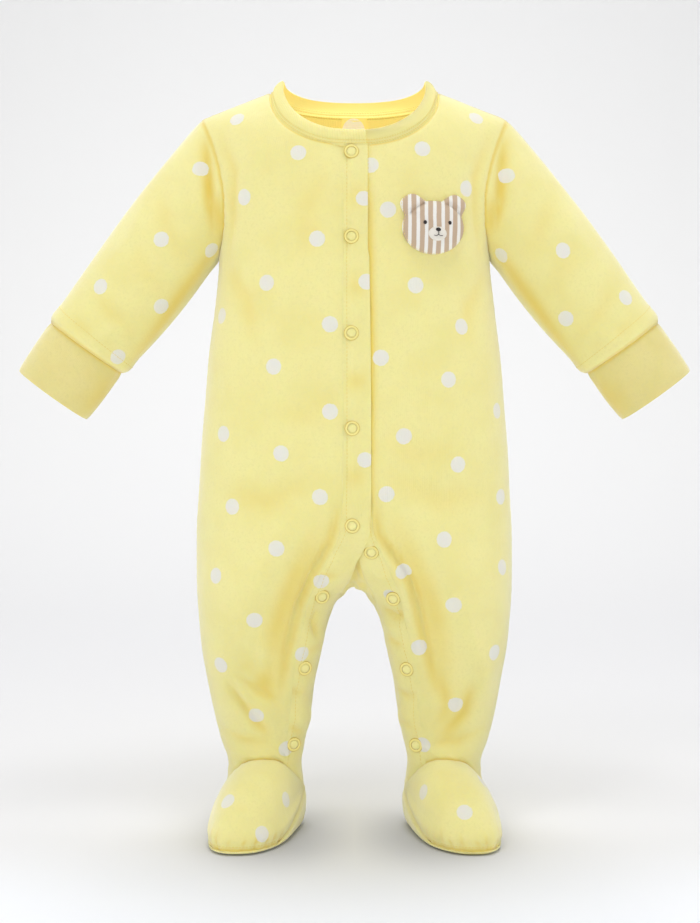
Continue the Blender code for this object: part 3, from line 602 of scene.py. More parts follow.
def dress(points, inside, seams, closed=False, extra=(), swell=(0.5, 46.0, 3), flatSeams=()):
    # moves a plain grid into its worn surface: seams drawn in, folds, and slow unevenness
    out = outwardOf(points, inside, closed)
    offset = foldAll(points, list(folds) + list(extra))
    offset = offset + softSwell(points, *swell)
    ripple = np.sin(points @ np.array(seamLook["puckerWay"]) + 1.7 * np.sin(points[..., 2] * 0.13))
    for name in seams:
        away = edgeWay(points, name)
        dip = seamLook["flatDip" if name in flatSeams else "dip"]
        pucker = seamLook["topPucker" if name == "top" else "pucker"]
        offset = offset - dip * hill(away, seamLook["dipWide"])
        offset = offset + pucker * ripple * hill(away, seamLook["puckerWide"])
    return points + out * offset[..., None], out


def panelMap(points):
    # across the cloth from the side seam, and down it, in metres
    x, z = np.abs(points[..., 0]), points[..., 2]
    return angleAt(x, z) * 0.09, z * mm


def stripMap(points):
    # across the strip from its seam, and down it
    return runs(points, 1) * mm, points[..., 2] * mm


def paintedShadeAmount(points, depth, sewn, shades):
    # 0 to 1: how much painted shade each place takes, deep in a fold, at a sewn edge, or along one of the given shade
    #         lines
    tint = np.clip(-depth / cloth["fullCrease"], 0, 1) ** 1.2
    for edge in sewn:
        tint = np.maximum(tint, cloth["sewnShade"] * hill(edgeWay(points, edge), cloth["sewnWide"]))
    for way, wide, amount in shades:
        tint = np.maximum(tint, fold(points, way, wide, amount, 1.0))
    return tint


def clothMesh(name, parts, wall, material, closed=False, dots=None, mapped=None, creases=(), sewn=(), shades=()):
    # one closed wall from (points, outward) grids, with a map in metres, the distance to the nearest dot,
    # the painted shade each place takes, and a painted glow on its inside faces
    mesh = bpy.data.meshes.new(name)
    shell = bmesh.new()
    uvLayer = shell.loops.layers.uv.new("cloth")
    awayLayer, paintedShadeLayer, paintedGlowLayer = (shell.verts.layers.float.new(key)
                                           for key in ("dotAway", "crease", "inside"))
    ways = list(folds) + list(creases)
    places = dotPlaces if dots is None else dots
    for points, out in parts:
        rows, columns = points.shape[:2]
        # the cloth as it lay before it was folded, where the dots were printed
        plain = points - out * foldAll(points, ways)[..., None]
        depth = foldAll(plain, ways)
        plain = points - out * depth[..., None]
        away = dotField(plain, places) * mm if len(places) else np.ones((rows, columns))
        tint = paintedShadeAmount(points, depth, sewn, shades)
        u, v = mapped(points) if mapped else (runs(points, 1) * mm, -runs(points, 0) * mm)
        if closed:
            u = np.broadcast_to(u[rows // 2], u.shape)
            total = u[0, -1] + np.linalg.norm(points[rows // 2, 0] - points[rows // 2, -1]) * mm
            u = np.concatenate([u, np.full((rows, 1), total)], axis=1)
            v = np.concatenate([v, v[:, :1]], axis=1)
        inner = points - out * wall
        outerVerts = [[shell.verts.new(p * mm) for p in row] for row in points]
        innerVerts = [[shell.verts.new(p * mm) for p in row] for row in inner]
        for i in range(rows):
            for j in range(columns):
                outerVerts[i][j][awayLayer] = away[i, j]
                innerVerts[i][j][awayLayer] = cloth["noDots"]
                # painted shade by folds, seams and shade lines outside, an even painted shade on the inside faces,
                # and a painted glow there too
                outerVerts[i][j][paintedShadeLayer] = tint[i, j]
                innerVerts[i][j][paintedShadeLayer] = cloth["innerShade"]
                innerVerts[i][j][paintedGlowLayer] = cloth["innerGlow"][int(points[i, j, 2] <= cloth["glowAbove"])]

        def face(verts, corners, flip=False):
            made = shell.faces.new(verts[::-1] if flip else verts)
            made.smooth = True
            for loop, (i, j) in zip(made.loops, corners[::-1] if flip else corners):
                loop[uvLayer].uv = (u[i, j], v[i, j])

        last = columns if closed else columns - 1
        for i in range(rows - 1):
            for j in range(last):
                k = (j + 1) % columns
                corners = ((i, j), (i + 1, j), (i + 1, j + 1), (i, j + 1))
                face((outerVerts[i][j], outerVerts[i + 1][j], outerVerts[i + 1][k], outerVerts[i][k]), corners)
                face((innerVerts[i][j], innerVerts[i][k], innerVerts[i + 1][k], innerVerts[i + 1][j]),
                     (corners[0], corners[3], corners[2], corners[1]))
        # the wall's edges: along the first and last rows, then down the sides of an open grid
        for j in range(last):
            k = (j + 1) % columns
            for i, flip in ((0, False), (rows - 1, True)):
                face((outerVerts[i][j], outerVerts[i][k], innerVerts[i][k], innerVerts[i][j]),
                     ((i, j), (i, j + 1), (i, j + 1), (i, j)), flip)
        for i in range(0 if closed else rows - 1):
            for j, flip in ((0, True), (columns - 1, False)):
                joined = j and len(parts) > 1 and abs(points[i, j, 0]) + abs(points[i + 1, j, 0]) < 0.06
                if not joined:
                    face((outerVerts[i][j], outerVerts[i + 1][j], innerVerts[i + 1][j], innerVerts[i][j]),
                         ((i, j), (i + 1, j), (i + 1, j), (i, j)), flip)
    bmesh.ops.remove_doubles(shell, verts=shell.verts[:], dist=cloth["merge"] * mm)
    bmesh.ops.recalc_face_normals(shell, faces=shell.faces[:])
    shell.to_mesh(mesh)
    shell.free()
    mesh.materials.append(material)
    mesh.set_sharp_from_angle(angle=math.radians(60))
    return toScene(name, mesh)


# the grids of the pieces; seamGap parts two pieces that meet at a seam
seamGap = 0.04
bodyHeights = np.unique(np.concatenate([np.linspace(heights["armpit"], heights["legEnd"], fine["body"]),
                                        [heights["crotch"], heights["crotch"] - 1.2]]))[::-1]
topParts = np.linspace(1.0, 0.0, fine["top"] + 1)[:-1] ** 0.9
footParts = np.linspace(0.0, 1.0, fine["foot"] + 1)[1:]


def seamX(side, z):
    return body("seamR" if side < 0 else "seamL", z)


def edgeX(side, z):
    return body("edgeR" if side < 0 else "edgeL", z)


def endAngle(front, side, z):
    z = np.asarray(z, float)
    if front:
        return angleAt(seamX(side, z) + seamGap, z)
    low = math.pi - np.arcsin(strip["back"] / body("back", z))
    return np.where(z >= heights["crotch"] - 0.03, angleAt(0.0, z), low)


def topGrid(front, side):
    steps = np.linspace(0, 1, fine["across"])
    armpit = heights["armpit"]
    end = float(endAngle(front, side, armpit))
    low = sectionPoint(end * steps, armpit, front)[..., [0, 2]]
    xEnd = float(seamX(side, armpit)) + seamGap if front else 0.0
    share = shoulder["share"]
    along = shoulder["tip"][0] + (neck["half"] - shoulder["tip"][0]) * np.minimum(steps / share, 1.0)
    turn = math.pi / 2 * np.clip((1 - steps) / (1 - share), 0, 1)
    beside = xEnd + (neck["half"] - xEnd) * np.sin(turn) ** (2 / neck["power"])
    x = np.where(steps <= share, along, beside)
    z = np.where(steps <= share, shoulderHeight(along), neckHeight(beside, front) - cloth["gap"])
    high = np.stack([x, z], axis=-1)
    t = topParts[:, None, None]
    plain = low * (1 - t) + high * t
    hole = np.stack([smoothRead(armParts, armX, topParts), smoothRead(armParts, armZ, topParts)], axis=-1)
    flat = plain + (1 - steps)[None, :, None] * (hole - plain[:, 0])[:, None, :]
    return stack(flat[..., 0], depthAt(flat[..., 0], flat[..., 1], front), flat[..., 1])


def panelGrid(front, side):
    steps = np.linspace(0, 1, fine["across"])[None]
    z = bodyHeights[:, None]
    middle = sectionPoint(endAngle(front, side, z) * steps, z, front)
    last, part = float(bodyHeights[-1]), footParts[:, None]
    angle = float(endAngle(front, side, last)) * steps
    if front:
        z = last + (instepHeight(angle) + seamGap - last) * part
        low = sectionPoint(angle, z, True)
    else:
        z = last + (heights["heelSeam"] + seamGap - last) * part
        low = sectionPoint(endAngle(False, side, z) * steps, z, False)
    points = np.concatenate([topGrid(front, side), middle, low])
    y = points[..., 1]
    points[..., 1] = np.minimum(y, -seamGap / 2) if front else np.maximum(y, seamGap / 2)
    return points


def placketLift(side, points):
    # the top strip rises over the lower one, down to where the two part at the fork
    if side > 0:
        return np.zeros(points.shape[:-1])
    x, z = points[..., 0], points[..., 2]
    seam = seamX(side, z)
    across = np.clip((seam - x) / seam, 0, 1)
    along = np.clip((z - strip["partAt"]) / strip["partOver"], 0, 1)
    return cloth["layer"] * (3 * across**2 - 2 * across**3) * along


def placketGrid(side):
    steps = np.linspace(0, 1, fine["strip"])[None]
    armpit, last = heights["armpit"], float(bodyHeights[-1])
    # above the armpit the strip runs straight up to the neck
    seam, edge = float(seamX(side, armpit)), float(edgeX(side, strip["straightEdge"]))
    x = np.broadcast_to(seam + (edge - seam) * steps, (len(topParts), fine["strip"]))
    z = armpit + (neckHeight(x, True) - cloth["gap"] - armpit) * topParts[:, None]
    top = stack(x, depthAt(x, z, True), z)
    z = bodyHeights[1:, None]
    start, end = angleAt(seamX(side, z), z), angleAt(edgeX(side, z), z)
    middle = sectionPoint(start + (end - start) * steps, z, True)
    start, end = float(angleAt(seamX(side, last), last)), float(angleAt(edgeX(side, last), last))
    angle = start + (end - start) * steps
    low = sectionPoint(angle, last + (instepHeight(angle) + seamGap - last) * footParts[:, None], True)
    return np.concatenate([top, middle, low])


def turnedRing(end, inset, angles):
    up = armAxes(end["turn"])[1]
    across, deep = end["across"] / 2 - inset, end["deep"] / 2 - inset
    return (np.array(end["middle"]) + up * across * np.cos(angles)[:, None]
            - np.array((0, 1, 0)) * deep * np.sin(angles)[:, None])


def sleeveGrid(side):
    parts = np.linspace(1, 0, fine["arm"])
    back = parts[-2:0:-1]
    axis = armAxes(cuffSeam["turn"])[0]
    hole = np.concatenate([armholePoint(parts, True), armholePoint(back, False)]) + axis * seamGap
    wrist = turnedRing(cuffSeam, 0.0, np.concatenate([math.pi * (1 - parts), math.pi * (1 + back)]))
    away = unit(wrist - np.array(cuffSeam["middle"]))
    s = np.linspace(0, 1, fine["sleeve"])[:, None, None]
    return mirrored(hole + (wrist - hole) * s + away * cuffSeam["fullness"] * np.sin(math.pi * s), side)


def cuffGrid(side):
    angles = np.linspace(0, 2 * math.pi, fine["wrist"] + 1)[:-1]
    first, last = turnedRing(cuffSeam, cuffEnd["inset"], angles), turnedRing(cuffEnd, 0.0, angles)
    s = np.linspace(0, 1, fine["cuff"])[:, None, None]
    return mirrored(first + (last - first) * s, side)


def neckbandGrid():
    rows, columns = fine["neck"]
    before, after = neck["overlap"]
    angle = np.linspace(-before, 2 * math.pi + after, columns)
    sine, cosine = np.sin(angle), np.cos(angle)
    across = -np.sign(sine) * np.abs(sine) ** (2 / neck["power"])
    along = np.abs(cosine) ** (2 / neck["power"])
    front = cosine > 0
    x = neck["half"] * across
    zLow = np.where(front, neckHeight(x, True), neckHeight(x, False))
    yLow = np.where(front, depthAt(x, zLow, True), depthAt(x, zLow, False))
    shareX, shareY, drop = neck["tuckedIn"]
    low = stack(shareX * x, shareY * yLow, zLow - drop)
    deep, high = (np.where(front, neck["topFront"][i], neck["topBack"][i]) for i in (0, 1))
    rounded = (cosine**2 + neck["soften"]**2) ** (1 / neck["power"])
    top = stack(neck["topHalf"] * across, deep * along, high * rounded)
    # the end that laps over the other stands off it, and fades back into the band
    lapEnd, lapFade, proud = neck["lap"]
    onTop = np.clip((lapEnd - angle) / lapFade, 0, 1) * (cloth["layer"] + proud)
    outward = stack(across, np.where(front, -along, along), 0.0)
    s = np.linspace(0, 1, rows)[:, None, None]
    return low + (top - low) * s + outward * onTop[:, None] + np.sin(math.pi * s) * outward


def soleRim(angle):
    sine, cosine = np.sin(angle), np.cos(angle)
    half = body("side", heights["heelSeam"]) - body("centre", heights["heelSeam"])
    along = np.maximum(sine, 0.0) ** (2 / foot["power"])
    across = half * (1 + foot["spread"] * sine) * np.sign(cosine) * np.abs(cosine) ** (2 / foot["power"])
    y = -foot["reach"] * along
    rise = foot["rise"] * np.maximum(1 + y / foot["riseReach"], 0.0) ** foot["risePower"]
    toes = stack(body("centre", heights["heelSeam"]) + foot["turn"] * along + across, y,
                 heights["floor"] + foot["seam"] + rise)
    heel = sectionPoint(2 * math.pi - angle, heights["heelSeam"], False)
    return np.where((angle > math.pi)[..., None], heel, toes)


def soleGrid(side):
    rim = soleRim(np.linspace(0, 2 * math.pi, fine["sole"] + 1)[:-1])
    centre = float(body("centre", heights["heelSeam"])) + foot["turn"] / 2
    middle = np.array((centre, foot["soleMiddle"], heights["floor"]))
    wide, tall = np.array(foot["profile"]).T
    places, flatFrom = np.arange(len(wide)), 4
    at = np.concatenate([np.linspace(0, flatFrom, fine["soleWall"]),
                         np.linspace(flatFrom, len(wide) - 1, fine["soleFlat"])[1:]])
    scale, height = smoothRead(places, wide, at), smoothRead(places, tall, at)
    return mirrored(middle + (rim - middle) * np.stack([scale, scale, height], axis=-1)[:, None, :], side)


def vampGrid(side):
    angle = np.linspace(0, math.pi, 2 * fine["vamp"] + 1)
    low = soleRim(angle) + np.array((0, 0, seamGap))
    top = sectionPoint(angle, instepHeight(angle), True)
    v = np.linspace(0, 1, fine["vamp"])[:, None]
    along = foot["round"] * (1 - np.cos(math.pi / 2 * v)) + (1 - foot["round"]) * v
    up = foot["round"] * np.sin(math.pi / 2 * v) + (1 - foot["round"]) * v
    points = low + (top - low) * np.stack([along, along, up], axis=-1)
    points[..., 1] = np.minimum(points[..., 1], -seamGap / 2)
    return mirrored(points, side)


def gussetLegRow(y, z, part):
    # one row up the inner leg, which at the foot bends to meet the instep and the heel
    height = np.full_like(y, z)
    if part:
        angle = math.pi - np.arcsin(np.minimum(np.abs(y) / body("front", heights["instepSeam"]), 1.0))
        bottom = np.where(y < 0, instepHeight(angle), heights["heelSeam"])
        height = z + (bottom + 0.2 - z) * part
    deep = np.where(y < 0, body("front", height), body("back", height))
    centre, power = body("centre", height), body("power", height)
    across = (body("side", height) - centre) * (1 - (np.abs(y) / deep) ** power) ** (1 / power)
    return stack(centre - across, y, height)[0]


def crotchGrid():
    steps = np.linspace(0, 1, fine["gusset"])[None]
    y = strip["back"] + (strip["front"] - strip["back"]) * steps
    last, count = heights["legEnd"], fine["gussetFoot"]
    rows = [gussetLegRow(y, last, part) for part in np.linspace(1, 1 / count, count)]
    rows += [gussetLegRow(y, z, 0.0) for z in np.linspace(last, strip["forkEnd"], fine["gussetLeg"])]
    table = {n: np.array([row[i] for row in crotchRows], float) for i, n in enumerate(crotchColumns)}
    at = np.arange(len(crotchRows), dtype=float)
    for place in np.linspace(len(crotchRows) - 1, 0, fine["gussetFork"]):
        read = {n: float(smoothRead(at, table[n], place)) for n in crotchColumns}
        back = np.array((read["backX"], strip["back"], read["backZ"]))
        front = np.array((read["frontX"], read["frontY"], read["frontZ"]))
        bow = read["bow"] * 4 * steps[0] * (1 - steps[0])
        rows.append(back + (front - back) * steps[0][:, None] - stack(0.0, 0.4 * bow, bow))
    half = np.array(rows)
    return np.concatenate([half, mirrored(half[-2::-1], -1)]), steps[0]


def attach(thing):
    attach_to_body(thing, "root")


def finishPiece(thing, node):
    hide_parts(node)
    attach(thing)
    return thing


# worn surfaces that later pieces are fitted to, and the lines that stitches follow
surfaces, lines = {}, {}


def addCloth(name, node, side, parts, slotName="dotted_jersey", wall=cloth["wall"], material=jersey, **look):
    # side 0 is a piece that both sides share
    end = f"_{sideName(side)}" if side else ""
    finishPiece(clothMesh(name + end, parts, wall, material, **look), node + end)


def shaped(offset, distance, *forms):
    # adds soft ridges (+) and troughs (-), each given as height, place along the distance, and width
    for height, middle, wide in forms:
        offset = offset + height * hill(distance, wide, middle)
    return offset


def sewPanels():
    parts = []
    for side in (1, -1):
        points = mirrored(panelGrid(False, side), side)
        moved, out = dress(points, mirrored(bodyInside, side), ("first", "top", "bottom"))
        middle = np.abs(points[:, -1, 0]) < 0.05
        for values in (moved, out):
            values[:, -1, 0] = np.where(middle, 0.0, values[:, -1, 0])
        parts.append((moved, unit(out)))
        surfaces["back", side] = moved, out
    addCloth("back_cloth", "back", 0, parts, mapped=panelMap, sewn=("first", "top"))
    for side in (1, -1):
        points = mirrored(panelGrid(True, side), side)
        moved, out = dress(points, mirrored(bodyInside, side), ("first", "last", "top", "bottom"),
                           flatSeams=("last",))
        surfaces["front", side] = moved, out
        addCloth("front_cloth", "front", side, [(moved, out)], mapped=panelMap, sewn=("first", "top", "bottom"),
                 shades=lapShade if side > 0 else ())


# the snaps: which side's strip each is on, how far out, and its height
snapRows = (
    (-1, 2.2, -57.5), (-1, 2.2, -116.5), (-1, 2.2, -183.0), (-1, 1.6, -248.5), (-1, 1.6, -316.0),
    (1, 11.6, -335.0), (-1, 22.6, -367.5), (-1, 35.2, -420.0), (-1, 43.4, -476.5),
    (1, 27.0, -368.5), (1, 37.0, -420.5), (1, 44.0, -477.0),
)
# roll, topstitch and bySnap are soft forms of height, distance and width; the waves are height and pace down
placket = {"roll": (-0.45, 0.0, 1.1), "topstitch": (-0.30, 3.4, 0.9), "stitchColumn": 2,
           "bySnap": ((-0.5, 0.0, 6.5), (0.9, 15.0, 8.0), (-0.8, 34.0, 10.0)), "bothAbove": -330.0,
           "wave": (0.3, 0.19), "drift": (1.3, 0.041), "seamFade": 2.5, "creaseWide": 1.2, "creaseShade": -0.38}
# places of (across, height), then width and depth, or for the shades width and strength
stripRows = {
    1: (((20, -377), (29, -382), (37, -378), 3.2, -2.4), ((20, -388), (28, -392), (36, -390), 3.4, 1.4),
        ((25, -399), (34, -403), 2.5, -1.2), ((30, -436), (38, -441), (44, -439), 2.8, -1.3),
        ((33, -459), (43, -464), 2.5, -1.0), ((9, -344), (18, -352), (27, -352), 3.2, 1.3)),
    -1: (((-26, -377), (-29, -387), (-27, -397), 2.9, -2.2), ((-33, -380), (-35, -393), 3.0, 1.0),
         ((-11, -351), (-21, -353), (-31, -357), 3.4, -1.3), ((-8, -339), (-18, -342), 3.6, 1.4),
         ((-23, -403), (-34, -407), 2.6, -1.2), ((-37, -440), (-46, -435), 2.8, -1.1),
         ((-38, -469), (-47, -462), 2.6, -1.2))}
stripFolds = {side: onFrontAll(rows) for side, rows in stripRows.items()}
# lapShade is a painted shadow that the top strip's free edge casts beside it; stripShades is painted shade between
# the snaps
lapShade = onFrontAll([((8.9, -56), (10.2, -100), (11.2, -200), (11.6, -290), (10.6, -322), 3.2, 1.0)])
stripShades = onFrontAll([((-6, z), (9, z - 2), 8.0, 0.34) for z in (-88, -150, -215, -281)])


def sewPlackets():
    for side in (1, -1):
        points = placketGrid(side)
        lift = placketLift(side, points)
        points = mirrored(points, side)
        moved, out = dress(points, mirrored(bodyInside, side), ("first", "top", "bottom"), extra=stripFolds[side],
                           flatSeams=("first",))
        steps, z = edgeWay(points, "first"), points[..., 2]
        # rolled free edge, a row of topstitch that draws the strip in, and soft puffs between the snaps
        offset = shaped(lift, edgeWay(points, "last"), placket["roll"])
        offset = shaped(offset, steps, placket["topstitch"])
        for rowSide, _, height in snapRows:
            if rowSide == side or height > placket["bothAbove"]:
                offset = shaped(offset, z - height, *placket["bySnap"])
        (wave, pace), (drift, slow) = placket["wave"], placket["drift"]
        offset = offset + wave * np.sin(z * pace + drift * np.sin(z * slow))
        fade = np.clip(steps / placket["seamFade"], 0, 1) ** 2
        moved = moved + out * (lift + (offset - lift) * fade)[..., None]
        surfaces["placket", side] = moved, out
        column = placket["stitchColumn"]
        lines["placket", side] = [moved[:, column] + out[:, column] * 0.1]
        # painted shade along the strip's troughs, with the painted shadow of the top strip's edge or the painted
        # shade between the snaps
        shades = [(way, placket["creaseWide"] * wide, placket["creaseShade"] * deep)
                  for way, wide, deep in stripFolds[side] if deep < 0]
        addCloth("placket_cloth", "placket", side, [(moved, out)], dots=stripPlaces[side], mapped=stripMap,
                 creases=stripFolds[side], shades=(lapShade if side > 0 else stripShades) + shades)


def joinRow(moved, target, away, reach=9.0):
    # draws a grid's first row onto the neighbour's edge, fading into the cloth
    return moved + (target - moved[0])[None] * hill(away, reach)[..., None]


def readCurve(places, points, at):
    order = np.argsort(places)
    return np.stack([np.interp(at, np.array(places)[order], points[order, i]) for i in range(3)], axis=-1)


def armholeCurve(side):
    parts = np.linspace(1, 0, fine["arm"])
    count = len(topParts)
    places = np.append(topParts, 0.0)
    front, back = (surfaces[kind, side][0][:count + 1, 0] for kind in ("front", "back"))
    return np.concatenate([readCurve(places, front, parts), readCurve(places, back, parts[-2:0:-1])])


def instepCurve(side, at):
    last = float(bodyHeights[-1])
    seam = float(endAngle(True, side, last))
    edge = float(angleAt(edgeX(side, last), last))
    front, band = surfaces["front", side][0][-1], surfaces["placket", side][0][-1]
    places = np.concatenate([seam * np.linspace(0, 1, len(front)), np.linspace(seam + 0.002, edge, len(band))])
    return readCurve(places, np.concatenate([front, band]), np.minimum(at, edge)), at <= edge


# places are along the arm and across it; forms are height, distance and width; under is painted shade on the sleeve's
# underside, beside the armhole and under the cuff
sleeve = {"inside": (150.0, -2.0, -135.0), "puff": ((1.0, 6.0, 6.0), (-1.6, 0.0, 2.0)), "stitchRow": -5,
          "backDots": ((24, 16), (44, -18), (66, 14), (88, -14), (110, 18), (128, -18)),
          "under": (((24, -31), (80, -30), (136, -28), 8.0, 0.8), ((4, -6), (14, -20), (26, -32), 6.0, 0.75))}
cuff = {"inside": (205.0, -3.0, -209.0), "swell": (0.3, 24.0, 9), "gathers": 0.35, "count": 13, "reach": 9.0,
        "roll": (-0.5, 0.0, 1.6), "bow": 0.7, "under": (((148, -26), (166, -25), (184, -24), 13.0, 0.5),)}


def onArm(points, side, places, front=True):
    # the grid's own points nearest to places on the arm
    middles = [armFrame(along, across) for along, across in places]
    return [onGrid(points, side * middle[0], middle[2], front) for middle in middles]


def onArmAll(points, side, rows, front=True):
    return [(onArm(points, side, way, front), wide, deep) for *way, wide, deep in rows]


def sewSleeve(side):
    points = sleeveGrid(side)
    places = onArm(points, side, sleeveDots[side]) + onArm(points, side, sleeve["backDots"], False)
    creases = onArmAll(points, side, sleeveFolds["front"]) + onArmAll(points, side, sleeveFolds["back"], False)
    moved, out = dress(points, mirrored(sleeve["inside"], side), ("top",), closed=True, extra=creases)
    away = runs(points, 0)
    moved = joinRow(moved, armholeCurve(side), away)
    moved = moved + out * shaped(0.0, away[-1:] - away, *sleeve["puff"])[..., None]
    row = sleeve["stitchRow"]
    ring = moved[row] + out[row] * 0.1
    lines["cuff", side] = [np.concatenate([ring, ring[:1]])]
    addCloth("sleeve_cloth", "sleeve", side, [(moved, out)], closed=True, dots=np.array(places), creases=creases,
             sewn=("top", "bottom"), shades=onArmAll(points, side, sleeve["under"]))


def sewCuff(side):
    points = cuffGrid(side)
    run = runs(points, 0)
    moved, out = dress(points, mirrored(cuff["inside"], side), ("top",), closed=True, swell=cuff["swell"])
    angle = np.linspace(0, 2 * math.pi, points.shape[1], endpoint=False)
    gathers = cuff["gathers"] * np.sin(cuff["count"] * angle + 1.8 * np.sin(2 * angle)) * hill(run, cuff["reach"])
    rounded = shaped(0.0, run[-1:] - run, cuff["roll"]) + cuff["bow"] * np.sin(math.pi * (run / run[-1:]))
    moved = moved + out * (gathers + rounded)[..., None]
    addCloth("cuff_cloth", "cuff", side, [(moved, out)], "cuff_jersey", cloth["bandWall"], cuffJersey, closed=True,
             dots=noDots, sewn=("top",), shades=onArmAll(points, side, cuff["under"]))


# each toe gather, as place along the seam from the toe's middle, reach up the foot, and depth
toeGathers = {1: ((-37, 8, 0.9), (-29, 10, 1.2), (-23, 6, 0.8), (-13, 9, 1.1), (-6, 6, 0.7), (5, 8, 0.9),
                  (12, 6, 0.7), (21, 10, 1.2), (29, 8, 1.0), (38, 9, 1.0)),
              -1: ((-36, 7, 0.8), (-27, 9, 1.0), (-17, 10, 1.1), (-9, 6, 0.7), (1, 7, 0.8), (10, 9, 1.0),
                   (19, 6, 0.7), (27, 8, 0.9), (37, 7, 0.8))}
# shade is the width and strength of painted shade down each gather's trough
toes = {"swell": (0.5, 30.0, 5), "join": 7.0, "puff": (1.5, 8.0, 5.5), "puffEnds": 2.2, "lean": 0.25, "tuck": 1.5,
        "ridge": 0.5, "wide": 1.7, "next": 3.0, "shade": (2.0, 0.8), "stitchRow": 1}
footDots = {-1: ((88, -507), (48, -511), (64, -528)), 1: ((75, -512), (49, -506), (93, -498))}
sole = {"swell": (0.25, 30.0, 6), "flatRows": 20,
        "dots": ((60, -60, -540), (90, -40, -540), (66, -10, -540), (84, 8, -540), (70, 33, -522), (104, 0, -522))}


def sewFootTop(side):
    points = vampGrid(side)
    moved, out = dress(points, mirrored(footInside, side), ("top", "bottom"), swell=toes["swell"])
    target, known = instepCurve(side, np.linspace(0, math.pi, points.shape[1]))
    fade = hill(edgeWay(points, "bottom"), toes["join"])[..., None]
    moved = moved + np.where(known[:, None], target - moved[-1], 0.0)[None] * fade
    along, seam = edgeWay(points, "top"), runs(points, 1)[0]
    offset = shaped(0.0, along, toes["puff"]) * np.clip(np.sin(math.pi * seam / seam[-1]) * toes["puffEnds"], 0, 1)
    wide, ahead = toes["wide"], toes["next"]
    shades = []
    for place, reach, deep in toeGathers[side]:
        off = (seam - seam[-1] / 2 - place)[None] - toes["lean"] * np.sign(place) * along
        offset = offset - toes["tuck"] * deep * hill(off, wide) * hill(along, reach)
        offset = offset + toes["ridge"] * deep * hill(off, wide, ahead) * hill(along, reach, ahead)
        column = int(np.argmin(np.abs(seam - seam[-1] / 2 - place)))
        rows = np.searchsorted(along[:, column], (0.5, 0.55 * reach, 1.1 * reach))
        shades.append(([points[row, column] for row in rows], toes["shade"][0], toes["shade"][1] * deep))
    moved = moved + out * offset[..., None]
    row = toes["stitchRow"]
    lines["foot", side] = [moved[row] + out[row] * 0.1]
    places = np.array([onGrid(points, side * x, z) for x, z in footDots[side]])
    addCloth("foot_cloth", "foot_top", side, [(moved, out)], dots=places, sewn=("top", "bottom"), shades=shades)


def sewSole(side):
    points = soleGrid(side)
    moved, out = dress(points, mirrored(footInside, side), ("top",), closed=True, swell=sole["swell"])
    low = points[..., 2] < heights["floor"] + 0.5
    moved = np.where(low[..., None], points, moved)
    moved[..., 2] = np.maximum(moved[..., 2], heights["floor"])
    out[-sole["flatRows"]:] = (0, 0, -1)
    addCloth("sole_cloth", "sole", side, [(moved, out)], closed=True, dots=mirrored(sole["dots"], side))


# the gusset under the fork; its shades are painted shade, each a way, a width and a strength, and above dimAbove
# every face takes a painted glow of the glow strength
gusset = {"inside": (0.0, -14.0, -430.0), "gathers": 1.3, "from": -352.0, "reach": 26.0, "swell": (0.5, 30.0, 8),
          "shades": (([(0, -66, -355), (0, -30, -350)], 5.0, 0.9), ([(-9, -60, -366), (-12, -50, -374)], 2.6, 0.8),
                     ([(9, -60, -364), (12, -50, -373)], 2.6, 0.8)), "dimAbove": -370.0, "glow": 0.35}


def sewCrotch():
    points, steps = crotchGrid()
    out = -outwardOf(points, gusset["inside"])
    sink = (cloth["layer"] + cloth["gap"]) * np.minimum(2 * steps, 1.0)
    moved = points - out * sink[None, :, None]
    x, y, z = (points[..., i] for i in range(3))
    gathers = gusset["gathers"] * np.sin(x * 0.62 + 0.8 * np.sin(y * 0.3)) * hill(z, gusset["reach"], gusset["from"])
    moved = moved + out * (gathers + softSwell(points, *gusset["swell"]))[..., None]
    strap = clothMesh("crotch_cloth", [(moved, out)], cloth["wall"], jersey, shades=gusset["shades"])
    # a painted glow on every face of the gusset's upper part
    for point, value in zip(strap.data.vertices, strap.data.attributes["inside"].data):
        value.value = gusset["glow"] if point.co.z > gusset["dimAbove"] * mm else value.value
    finishPiece(strap, "crotch_strip")


# bead and roll are the band's sewn edge and its swell above that
collar = {"inside": (0.0, 0.0, -20.0), "ripple": 0.25, "bead": ((0.5, 2.2, 0.8), (-0.35, 4.0, 0.5)), "roll": 1.3,
          "rollFrom": 3.2, "stitchRows": (8, 4), "backPart": slice(60, 200)}


def sewNeck():
    points = neckbandGrid()
    out = outwardOf(points, collar["inside"])
    up = runs(points, 0)
    ripple = collar["ripple"] * np.sin(runs(points, 1) * 0.16 + 1.1) * np.sin(math.pi * up / up[-1:])
    part = (up - collar["rollFrom"]) / (up.max(axis=0) - collar["rollFrom"])
    roll = collar["roll"] * np.sin(math.pi * np.clip(part, 0, 1)) ** 0.7
    moved = points + out * (ripple + roll + shaped(0.0, up, *collar["bead"]))[..., None]
    inside = moved - out * (cloth["bandWall"] + 0.12)
    lines["neck"] = [moved[row] + out[row] * 0.12 for row in collar["stitchRows"]]
    lines["neck inside"] = [inside[row][collar["backPart"]] for row in collar["stitchRows"]]
    addCloth("neckband_cloth", "neckband", 0, [(moved, out)], "neck_rib", cloth["bandWall"], neckRib, dots=noDots)


sewPanels()
print("panels made")
sewPlackets()
print("snap strips made")
for side in (1, -1):
    sewSleeve(side)
    sewCuff(side)
print("sleeves and cuffs made")
for side in (1, -1):
    sewFootTop(side)
    sewSole(side)
sewCrotch()
sewNeck()
print("all cloth made")


